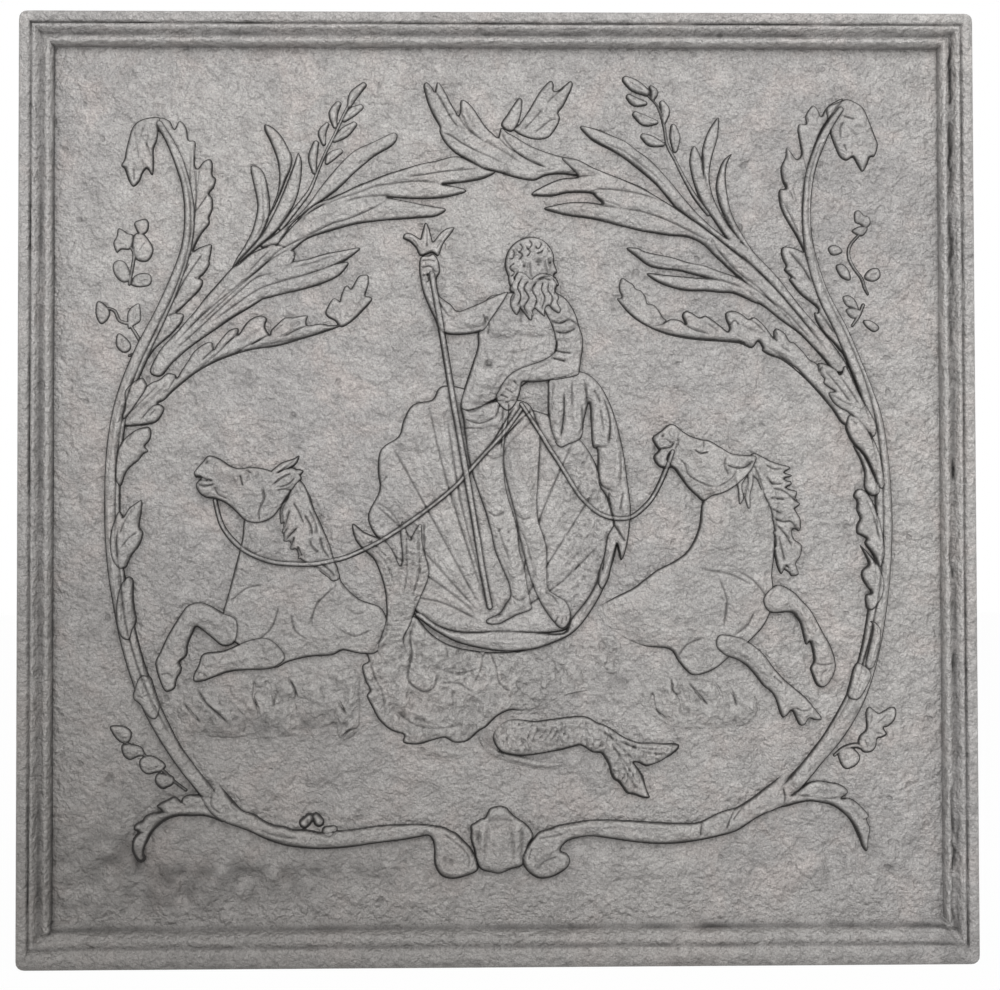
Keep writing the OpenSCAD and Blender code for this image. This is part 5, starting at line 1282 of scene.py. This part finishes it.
def torn(x, z):
    sharp, length, base = tear["often"]
    along = sharp * lumpy(x * 0, z, length, 31) + base
    for place, half, more in tear["worse"]:
        along = along + more * np.exp(-(((z - place) / half) ** 2))
    inward, lean, drift, pitch = tear["middle"]
    middle = inward - z / lean + drift * lumpy(x * 0, z, pitch, 8)
    across = np.exp(-(((plateWide / 2 - x - middle) / tear["half"]) ** 2))
    start, grow = tear["start"]
    return tear["deep"] * np.clip(along, 0, 1) * across * np.clip((z - start) / grow, 0, 1)


fieldX, fieldZ = np.meshgrid(latticeX, latticeZ)
relief = ground.copy()
fromSides = np.minimum(plateWide / 2 - np.abs(fieldX), plateTall - fieldZ)
relief = np.maximum(relief, mouldingHeight("side", fromSides))
relief = np.maximum(relief, mouldingHeight("foot", fieldZ)) - torn(fieldX, fieldZ)
blur = {"thin": 1.0, "broad": 4.5, "near": 1.8}
hollows = blurred(relief, blur["thin"]) - relief     # creases positive, crests negative
valleys = blurred(relief, blur["broad"]) - relief
nearby = blurred(relief, blur["near"])               # how close the field is to something raised
print("creases mapped")

# dirt and painted shade in creases, in hollows, beside raised forms and along ornaments' edges, and bare
# metal on crests, as the material reads them
dirtShadeWear = {
    "crease": 1.3,                # how dark a thin crease gets, with dirt and painted shade
    "valley": (0.04, 0.13),       # and a broad one, on an ornament and elsewhere
    "valleyMost": 0.4,
    "field": (0.09, 2.6),         # painted shade on the field beside something raised
    "patches": (0.4, 1.1, 17),    # patches in the border's dirt and painted shade: least, more, pitch
    "smudge": 0.27,
    "smudgeBreaks": (0.6, 1.6, 6.5),
    "smudges":    # x, z, half sizes
        "-180,149,20,8 -145,148,26,7 -112,150,16,8 40,166,22,7 70,176,14,8 -8,142,14,7 -215,110,26,26 "
        "-255,62,34,22 -200,52,34,16 -140,48,40,12 -236,70,14,14 -262,36,22,8 -215,42,26,7 -176,60,30,6 "
        "-100,60,40,7 284,16,18,12 160,2,150,4 -200,2,150,3",
    "edge": 0.62,                 # how far an ornament's dark edge, painted shade and dirt at its foot, reaches in, in mm
    "under": (0.4, 0.7),          # more painted shade on an edge that looks down, and again near the foot
    "low": (140, 60),             # from this height down, over this much
    "leftward": 0.5,              # more painted shade on an edge that looks left
    "uneven": (0.7, 13),
    "crest": 1.3,                 # how bare a sharp crest is
    "hill": (0.08, 0.4),          # and a broad one, with its most
}
smudges = readPoints(dirtShadeWear["smudges"])


# dirt and painted shade: darker in creases and broad hollows, on the field beside raised forms and along an
# ornament's foot; bare crests are lighter
def paintDirtShadeAndWear(x, z, carving=None, field=False):
    crease, valley = sampled(hollows, x, z), sampled(valleys, x, z)
    if field:    # its points lie too far apart for the creases
        # painted shade on the field beside something raised
        share, most = dirtShadeWear["field"]
        crease, valley = share * np.clip(sampled(nearby, x, z), 0, most), 0
    dirtAndShade = np.clip(crease * dirtShadeWear["crease"], 0, 1) * (carving.creaseDirt if carving else 1)
    dirtAndShade = dirtAndShade + np.clip(valley * dirtShadeWear["valley"][0 if carving else 1], 0, dirtShadeWear["valleyMost"])
    if not (carving or field):
        least, more, pitch = dirtShadeWear["patches"]
        dirtAndShade = dirtAndShade * (least + more * (lumpy(x, z, pitch, 15) + 0.5))
    least, more, pitch = dirtShadeWear["smudgeBreaks"]
    for smudge in smudges:
        near = np.exp(-(((x - smudge[0]) / smudge[2]) ** 2 + ((z - smudge[1]) / smudge[3]) ** 2))
        dirtAndShade = dirtAndShade + dirtShadeWear["smudge"] * near * (least + more * lumpy(x, z, pitch, 9))
    if carving:
        # painted shade along an ornament's foot, with some dirt: wider where the edge looks down, more so
        # near the foot, and where it looks left
        up, right = np.gradient(carving.depth, cell / carving.fine)    # which way its edge faces
        high, span = dirtShadeWear["low"]
        more = dirtShadeWear["under"][0] + dirtShadeWear["under"][1] * np.clip((high - z) / span, 0, 1)
        reach = dirtShadeWear["edge"] + more * np.clip(up, 0, 1) + dirtShadeWear["leftward"] * np.clip(right, 0, 1)
        reach = reach + dirtShadeWear["uneven"][0] * lumpy(x, z, dirtShadeWear["uneven"][1], 4)
        dirtAndShade = dirtAndShade + np.exp(-((np.maximum(carving.depth, 0) / reach) ** 2)) * carving.edge
    wear = np.clip(-crease * dirtShadeWear["crest"], 0, 1) + np.clip(-valley * dirtShadeWear["hill"][0], 0, dirtShadeWear["hill"][1])
    return np.clip(dirtAndShade, 0, 1), np.clip(wear, 0, 1)


def setLayers(bm, dirtAndShade, wear):
    dirtAndShadeLayer = bm.verts.layers.float.new("dirtAndShade")
    wearLayer = bm.verts.layers.float.new("wear")
    for vert, dirtAndShadeShare, bare in zip(bm.verts, dirtAndShade, wear):
        vert[dirtAndShadeLayer], vert[wearLayer] = dirtAndShadeShare, bare


# the open edge goes back to a flat foot, which is closed
def closeBehind(bm, back):
    edges = [edge for edge in bm.edges if edge.is_boundary]
    for edge in edges:
        edge.smooth = False
    walls = bmesh.ops.extrude_edge_only(bm, edges=edges)["geom"]
    for vert in walls:
        if isinstance(vert, bmesh.types.BMVert):
            vert.co.y = back(vert.co) if callable(back) else back
    rim = [edge for edge in walls if isinstance(edge, bmesh.types.BMEdge) and edge.is_boundary]
    bmesh.ops.triangle_fill(bm, edges=rim, normal=(0, 1, 0), use_dissolve=True)
    bmesh.ops.recalc_face_normals(bm, faces=bm.faces)


def reliefPiece(carving):
    rows, cols = carving.x.shape
    buried = sampled(ground, carving.x, carving.z) - carving.height > lattice["buried"]
    kept = (carving.depth > -lattice["skirt"]) & ~buried
    cells = kept[:-1, :-1] & kept[1:, :-1] & kept[:-1, 1:] & kept[1:, 1:]
    for _ in range(4):    # cells that touch by a corner only
        touch = cells[:-1, :-1] & cells[1:, 1:] & ~cells[1:, :-1] & ~cells[:-1, 1:]
        cells[:-1, :-1][touch] = False
        touch = cells[1:, :-1] & cells[:-1, 1:] & ~cells[:-1, :-1] & ~cells[1:, 1:]
        cells[1:, :-1][touch] = False
    bm = bmesh.new()
    bmesh.ops.create_grid(bm, x_segments=cols - 1, y_segments=rows - 1, size=1)
    for vert, x, z, height in zip(bm.verts, carving.x.ravel(), carving.z.ravel(), carving.height.ravel()):
        vert.co = (x * mm, fieldY - height * mm, z * mm)
    # dirt, painted shade and wear at each point
    setLayers(bm, *(values.ravel() for values in paintDirtShadeAndWear(carving.x, carving.z, carving)))
    spare = [face for face, keep in zip(bm.faces, cells.ravel()) if not keep]
    bmesh.ops.delete(bm, geom=spare, context="FACES")
    closeBehind(bm, fieldY + lattice["root"] * mm)
    addPiece(carving.name, bm, carving.slot)
    print("piece", carving.name)


def borderPiece(name):
    kind, place, length = sides[name]
    section = moulding[kind]
    inwardShare = moulding["side"][-1][0] / moulding["foot"][-1][0]
    count = int(length / moulding["step"])
    bm = bmesh.new()
    bmesh.ops.create_grid(bm, x_segments=count, y_segments=len(section) - 1, size=1)
    spots = []
    for index, vert in enumerate(bm.verts):
        inward, height = section[index // (count + 1)]
        # at the corner each side ends on the mitre line, the outer edges round it
        share = 2 * (index % (count + 1)) / count - 1
        bend = max(moulding["corner"] - inward, 0)
        other = inward
        if name in ("border_left", "border_right") and share * (1 if name == "border_right" else -1) > 0:
            other = inward / inwardShare
        elif name == "border_bottom":
            other = inward * inwardShare
        straight = length / 2 - other - bend
        run = abs(share) * (straight + bend * math.pi / 4)
        angle = min(max(run - straight, 0) / bend, math.pi / 4) if bend else 0
        a = math.copysign(min(run, straight) + bend * math.sin(angle), share)
        x, z = place(a, inward + bend * (1 - math.cos(angle)))
        spots.append((x, z))
        corner = 1 - min(max(length / 2 - other - abs(a), 0) / moulding["meet"], 1)
        if kind == "foot":
            height += (mouldingHeight("side", inward * inwardShare) - height) * corner
        if index >= (count + 1) * moulding["plain"]:
            lumps = 1 if kind == "foot" else moulding["lumpShare"]
            height += moulding["lump"] * lumpy(x, z, moulding["lumpPitch"], 14) * lumps
        dip = moulding["dip"] * abs(wander(x * 3, z * 3, 2.1))
        height += moulding["wave"] * wander(x, z, 1.3) * min(inward / 2, 1) - dip
        if name == "border_right":
            height -= torn(x, z)
        vert.co = (x * mm, fieldY - min(height, borderRise) * mm, z * mm)
    x, z = np.array(spots).T
    dirtAndShade, wear = paintDirtShadeAndWear(x, z)
    inward = np.repeat([s[0] for s in section], count + 1)
    if name in ("border_right", "border_top"):    # the inner crease's painted shade and dirt are lighter on these two
        start, lighter = moulding["lessDark"]
        dirtAndShade = dirtAndShade * np.where(inward > start, lighter, 1)
    setLayers(bm, dirtAndShade * np.clip(inward / 2, 0, 1), wear)    # no dirt or painted shade on the outer face
    edgeOf = lambda co: min(plateWide / 2 - abs(co.x) / mm, plateTall - co.z / mm, co.z / mm)
    closeBehind(bm, lambda co: fieldY + (lattice["root"] * mm if edgeOf(co) > 1 else 0))
    addPiece(name, bm, "border_iron")
    print("piece", name)


plate = {
    "step": 2.1,
    "chamfer": 1,
    "waves": ((0.25, 0.8, 0.8, 0.7), (0.15, 2.6, 2.2, 1.9)),    # height, how often across and up, where
    "sunk": 0.25,
    "crack": (0.7, 1.4),     # depth, half width
    "cracks": (
        "-39,598 -40,590 -38,583", "-178,494 -169,495 -158,497", "-262,224 -254,224 -247,222",
        "-210,301 -200,303 -190,305", "-160,320 -140,319 -120,321 -100,321 -85,322",
        "250,160 262,164 272,168"),
    "pit": (0.8, 1.6),       # depth, half width
    "pits": "-102,354 -98,336 94,361 91,389 -255,420 148,402 -130,232 120,448 -60,498 210,232",
    "ring": (0.35, 5, 1.3),  # height, radius, half width
    "rings": "-78,371 -245,75",
    "rough": (4, 0.15, 9),   # depth, its least share, pitch
    "roughPatches":    # x, z, half sizes
        "-245,62,50,26 -190,46,46,18 -110,112,70,18 -130,52,60,12 60,120,50,14 150,130,46,14 200,62,60,20",
    "rim": (8, 0.5),         # under the border the face is plain
}


def platePiece():
    cols, rows = int(plateWide / plate["step"]), int(plateTall / plate["step"])
    bm = bmesh.new()
    bmesh.ops.create_grid(bm, x_segments=cols, y_segments=rows, size=1)
    x, z = np.meshgrid(
        np.linspace(-plateWide / 2, plateWide / 2, cols + 1), np.linspace(0, plateTall, rows + 1))
    sunk = 0
    for rise, across, up, start in plate["waves"]:
        sunk = sunk + rise * wander(x * across, z * up, start)
    sunk -= plate["sunk"]
    deep, half = plate["crack"]
    for crack in plate["cracks"]:
        sunk -= deep * np.exp(-((fromLine(x, z, readPoints(crack))[0] / half) ** 2))
    deep, half = plate["pit"]
    for pit in readPoints(plate["pits"]):
        sunk -= deep * np.exp(-(((x - pit[0]) ** 2 + (z - pit[1]) ** 2) / half**2))
    rise, radius, half = plate["ring"]
    for ring in readPoints(plate["rings"]):
        off = np.hypot(x - ring[0], z - ring[1])
        sunk += rise * np.exp(-(((off - radius) / half) ** 2))
    deep, least, pitch = plate["rough"]
    for patch in readPoints(plate["roughPatches"]):
        near = np.exp(-(((x - patch[0]) / patch[2]) ** 2 + ((z - patch[1]) / patch[3]) ** 2))
        sunk -= deep * near * (least + lumpy(x, z, pitch, 12))
    fromEdge = np.minimum(np.minimum(plateWide / 2 - np.abs(x), plateTall - z), z)
    inField = np.clip(fromEdge / plate["rim"][0] - plate["rim"][1], 0, 1)
    sunk = np.minimum(sunk, 0) * inField
    # painted shade on the field beside raised forms, and dirt smudges
    setLayers(bm, *(values.ravel() for values in paintDirtShadeAndWear(x, z, field=True)))
    radius = moulding["corner"]
    for vert, px, pz, low in zip(bm.verts, x.ravel(), z.ravel(), sunk.ravel()):
        u = max(abs(px) - plateWide / 2 + radius, 0) / radius
        up = pz > plateTall / 2
        v = max((pz - plateTall + radius) if up else (radius - pz), 0) / radius
        if u and v:
            px = math.copysign(plateWide / 2 - radius + radius * u * math.sqrt(1 - v * v / 2), px)
            lift = radius * v * math.sqrt(1 - u * u / 2)
            pz = plateTall - radius + lift if up else radius - lift
        vert.co = (px * mm, fieldY - low * mm, pz * mm)
    closeBehind(bm, cadHigh.y)
    back = [
        edge for edge in bm.edges
        if all(abs(vert.co.y - cadHigh.y) < 1e-6 for vert in edge.verts)
        and any(abs(face.normal.y) < 0.5 for face in edge.link_faces)]
    bmesh.ops.bevel(
        bm, geom=back, offset=plate["chamfer"] * mm, offset_type="OFFSET", affect="EDGES",
        segments=2, profile=0.5, material=-1)
    addPiece("back_plate", bm, "plate_iron")
    print("piece back_plate")


# old cast iron: a shared skin of tone, dirt and painted shade, bare crests, darkening towards the lower
# left and casting grain
ironSkin = {
    "Tone": (0.395, 0.382, 0.37, 1),    # plain iron
    "Warm": (0.43, 0.385, 0.365, 1),    # pinkish patches
    # the colour of dirt and of painted shade
    "Dirt": (0.018, 0.016, 0.015, 1),
    "Bare": (0.55, 0.54, 0.525, 1),     # rubbed crests
    "Patches": 0.5,
    "DirtAndShadeAmount": 1.05,
    "Rubbed": 0.5,
    "LowerLeftDarkening": 0.62,                       # how far the foot and the left darken
    "Pits": 0.5,
}
clouded = (0.86, 0.86, 0.87, 1)
lowerLeftColor = (0.12, 0.112, 0.102, 1)
grains = {    # scale, detail, roughness, distortion
    "clouds": (5.5, 3, 0.5, 0.4),
    "stains": (26, 5, 0.62, 0.6),
    "swells": (60, 2, 0.4),       # the sand mould's slow dents
    "mottling": (85, 4, 0.6, 0.3),
    "lumps": (260, 2, 0.5),       # orange peel
    "grain": (480, 3, 0.6),
    "specks": (900, 2, 0.6),
}
dentScale, dentDrift = 75, 0.012
bumpShares = {"swells": 2.2, "lumps": 1.7, "grain": 0.7, "dents": 0.5}
bump = {"Strength": 0.85, "Distance": 0.0022}


def addSocket(group, name, way, kind, value=None):
    socket = group.interface.new_socket(name=name, in_out=way, socket_type=kind)
    if value is not None:
        socket.default_value = value


class Nodes:
    def __init__(self, tree):
        self.tree = tree

    def add(self, kind, **values):
        node = self.tree.nodes.new(kind)
        for key, value in values.items():
            setattr(node, key, value)
        return node

    def feed(self, node, name, value):
        socket = node.inputs[name]
        if isinstance(value, bpy.types.NodeSocket):
            self.tree.links.new(value, socket)
        else:
            socket.default_value = value

    def feedAll(self, node, values):
        for name, value in values.items():
            self.feed(node, name, value)

    def noise(self, where, scale, detail, rough, warp=0):
        node = self.add("ShaderNodeTexNoise")
        self.feedAll(node, {
            "Vector": where, "Scale": scale, "Detail": detail, "Roughness": rough, "Distortion": warp})
        return node.outputs["Fac"]

    # the place, pushed about by a value
    def warped(self, where, value, size):
        node = self.add("ShaderNodeVectorMath", operation="ADD")
        self.feedAll(node, {0: where, 1: self.times(value, size)})
        return node.outputs[0]

    # masks rise softly, other ranges evenly
    def ranged(self, value, low, high, toLow=0, toHigh=1):
        mask = toLow in (0, 1) and toHigh in (0, 1)
        node = self.add("ShaderNodeMapRange", interpolation_type="SMOOTHSTEP" if mask else "LINEAR")
        self.feedAll(node, {
            "Value": value, "From Min": low, "From Max": high, "To Min": toLow, "To Max": toHigh})
        return node.outputs["Result"]

    def combine(self, operation, a, b):
        node = self.add("ShaderNodeMath", operation=operation)
        self.feedAll(node, {0: a, 1: b})
        return node.outputs[0]

    def plus(self, a, b):
        return self.combine("ADD", a, b)

    def minus(self, a, b):
        return self.combine("SUBTRACT", a, b)

    def times(self, a, b):
        return self.combine("MULTIPLY", a, b)

    def blend(self, share, low, high, way="MIX"):
        node = self.add("ShaderNodeMix", data_type="RGBA", blend_type=way)
        self.feedAll(node, {0: share, 6: low, 7: high})
        return node.outputs[2]


def buildIronSkin():
    group = bpy.data.node_groups.new("ironSkin", "ShaderNodeTree")
    for name, value in ironSkin.items():
        kind = "NodeSocketColor" if isinstance(value, tuple) else "NodeSocketFloat"
        addSocket(group, name, "INPUT", kind, value)
    for name in ("Color", "Roughness", "Metallic", "Height"):
        kind = "NodeSocketColor" if name == "Color" else "NodeSocketFloat"
        addSocket(group, name, "OUTPUT", kind)
    n = Nodes(group)
    given = n.add("NodeGroupInput").outputs
    where = n.add("ShaderNodeTexCoord").outputs["Object"]
    dirtAndShade = n.add("ShaderNodeAttribute", attribute_name="dirtAndShade").outputs["Fac"]
    wear = n.add("ShaderNodeAttribute", attribute_name="wear").outputs["Fac"]
    place = n.add("ShaderNodeSeparateXYZ")
    n.feed(place, 0, where)

    clouds, stains, swells, mottling, lumps, grain, specks = (
        n.noise(where, *grains[name])
        for name in ("clouds", "stains", "swells", "mottling", "lumps", "grain", "specks"))
    cells = n.add("ShaderNodeTexVoronoi")
    n.feedAll(cells, {"Vector": n.warped(where, swells, dentDrift), "Scale": dentScale})
    chosen = n.add("ShaderNodeSeparateColor")
    n.feed(chosen, 0, cells.outputs["Color"])
    dents = n.times(
        n.ranged(cells.outputs["Distance"], 0.10, 0.2, 1, 0), n.ranged(chosen.outputs[0], 0.72, 0.8))
    dents = n.times(dents, given["Pits"])

    # plain iron, clouded, with warm patches, speckled, partly with painted shade in the bump's hollows, and
    # mottled
    tone = n.blend(n.ranged(clouds, 0.3, 0.7), given["Tone"], clouded, "MULTIPLY")
    tone = n.blend(n.times(n.ranged(stains, 0.46, 0.7), given["Patches"]), tone, given["Warm"])
    # random specks, plus painted shade where the bump's lumps sink
    speckleAndHollowShade = n.ranged(n.plus(n.times(specks, 1.6), n.times(lumps, 0.4)), 0.7, 1.3, 0.79, 1.21)
    tone = n.blend(1, tone, speckleAndHollowShade, "MULTIPLY")
    tone = n.blend(1, tone, n.ranged(mottling, 0.3, 0.7, 0.84, 1.16), "MULTIPLY")
    # bare crests, darker towards the foot and the left, dirt and painted shade in the creases, dirt in the
    # dents
    bare = n.times(n.times(wear, given["Rubbed"]), n.ranged(lumps, 0.35, 0.6))
    tone = n.blend(bare, tone, given["Bare"])
    # darker towards the foot and the left
    slant = n.plus(place.outputs["Z"], n.times(place.outputs["X"], 0.6))
    lowerLeftShare = n.times(n.ranged(n.plus(slant, n.times(clouds, 0.1)), -0.12, 0.36, 1, 0), given["LowerLeftDarkening"])
    tone = n.blend(lowerLeftShare, tone, lowerLeftColor)
    # dirt and painted shade, read from the vertex attribute
    dirtAndShadeShare = n.times(n.times(dirtAndShade, given["DirtAndShadeAmount"]), n.ranged(stains, 0.2, 0.62, 0.7, 1.15))
    dark = n.combine("MINIMUM", n.plus(dirtAndShadeShare, n.times(dents, 0.35)), 0.97)
    tone = n.blend(dark, tone, given["Dirt"])

    rough = n.ranged(n.plus(lumps, n.times(grain, 0.6)), 0.5, 1.1, 0.44, 0.62)
    rough = n.plus(n.minus(rough, n.times(bare, 0.1)), n.times(dark, 0.25))
    metal = n.minus(0.4, n.times(dark, 0.38))
    raised = n.plus(n.times(swells, bumpShares["swells"]), n.times(lumps, bumpShares["lumps"]))
    raised = n.plus(raised, n.times(grain, bumpShares["grain"]))
    raised = n.minus(raised, n.times(dents, bumpShares["dents"]))

    out = n.add("NodeGroupOutput")
    n.feedAll(out, {"Color": tone, "Roughness": rough, "Metallic": metal, "Height": raised})
    return group


# what is changed from the plain skin on each part of the casting
finishes = {
    "plate_iron": {"Patches": 0.6, "Pits": 0.8, "Rubbed": 0.2},
    "border_iron": {"Patches": 0.4, "Pits": 0.6, "Rubbed": 0.35, "DirtAndShadeAmount": 0.9},
    "wreath_iron": {"Tone": (0.4, 0.388, 0.375, 1)},
    "figure_iron": {"Tone": (0.405, 0.392, 0.38, 1), "Pits": 0.3, "Patches": 0.35},
    "sea_iron": {"Tone": (0.39, 0.378, 0.365, 1), "Pits": 0.45},
}
skinGroup = buildIronSkin()


def castIron(slotName):
    material = bpy.data.materials.new(slotName)
    material.use_nodes = True
    n = Nodes(material.node_tree)
    shader = material.node_tree.nodes["Principled BSDF"]
    skin = n.add("ShaderNodeGroup", node_tree=skinGroup)
    n.feedAll(skin, {**ironSkin, **finishes[slotName]})
    dented = n.add("ShaderNodeBump")
    n.feedAll(dented, {**bump, "Height": skin.outputs["Height"]})
    n.feedAll(shader, {
        "Base Color": skin.outputs["Color"], "Roughness": skin.outputs["Roughness"],
        "Metallic": skin.outputs["Metallic"], "Normal": dented.outputs["Normal"]})
    return material


materials = {slotName: castIron(slotName) for slotName in finishes}
print("materials ready")

platePiece()
for name in sides:
    borderPiece(name)
for carving in carvings:
    reliefPiece(carving)
print("pieces built")

studio = {
    "lamps": {    # place, size, watts
        "key": ((0.6, -1.8, 2.0), 1.2, 33.5),
        "fill": ((-1.6, -1.9, 0.9), 2.0, 12),
    },
    "aim": (0, 0, 0.3),
    "ambient": 0.52,
    "floor": (0.83, 0.83, 0.83, 1),
    "floorRoughness": 0.9,
    "floorHalf": 6,
    "floorWhite": 0.97,     # how far the floor shows as plain white, past its shadow
}


def addLamp(name, place, size, power):
    lamp = bpy.data.lights.new(name, "AREA")
    lamp.shape, lamp.size, lamp.energy = "SQUARE", size, power
    lampObject = bpy.data.objects.new(name, lamp)
    bpy.context.scene.collection.objects.link(lampObject)
    lampObject.location = place
    lampObject.rotation_euler = (Vector(studio["aim"]) - Vector(place)).to_track_quat("-Z", "Y").to_euler()


for name, values in studio["lamps"].items():
    addLamp(name, *values)


# white where the camera and the gloss see it, plain light elsewhere
def whiteWhereSeen(n):
    rays = n.add("ShaderNodeLightPath").outputs
    seen = n.combine("MAXIMUM", rays["Is Camera Ray"], rays["Is Glossy Ray"])
    return n.combine("MAXIMUM", seen, rays["Is Transmission Ray"])


world = bpy.data.worlds.new("studio")
bpy.context.scene.world = world
world.use_nodes = True
n = Nodes(world.node_tree)
sky = world.node_tree.nodes["Background"]
skyLight = n.ranged(whiteWhereSeen(n), 0, 1, studio["ambient"], 1)
n.feedAll(sky, {"Color": (1, 1, 1, 1), "Strength": skyLight})

floorMesh = bpy.data.meshes.new("floor")
bm = bmesh.new()
bmesh.ops.create_grid(bm, x_segments=1, y_segments=1, size=studio["floorHalf"])
bm.to_mesh(floorMesh)
bm.free()
floor = bpy.data.objects.new("floor", floorMesh)
bpy.context.scene.collection.objects.link(floor)
floorPaint = bpy.data.materials.new("floor")
floorPaint.use_nodes = True
n = Nodes(floorPaint.node_tree)
paint = floorPaint.node_tree.nodes["Principled BSDF"]
n.feedAll(paint, {"Base Color": studio["floor"], "Roughness": studio["floorRoughness"]})
glow = n.add("ShaderNodeEmission")
shown = n.add("ShaderNodeMixShader")
n.feed(shown, "Fac", n.times(whiteWhereSeen(n), studio["floorWhite"]))
n.feedAll(shown, {1: paint.outputs[0], 2: glow.outputs[0]})
n.feed(floorPaint.node_tree.nodes["Material Output"], "Surface", shown.outputs[0])
floorMesh.materials.append(floorPaint)
print("studio ready")
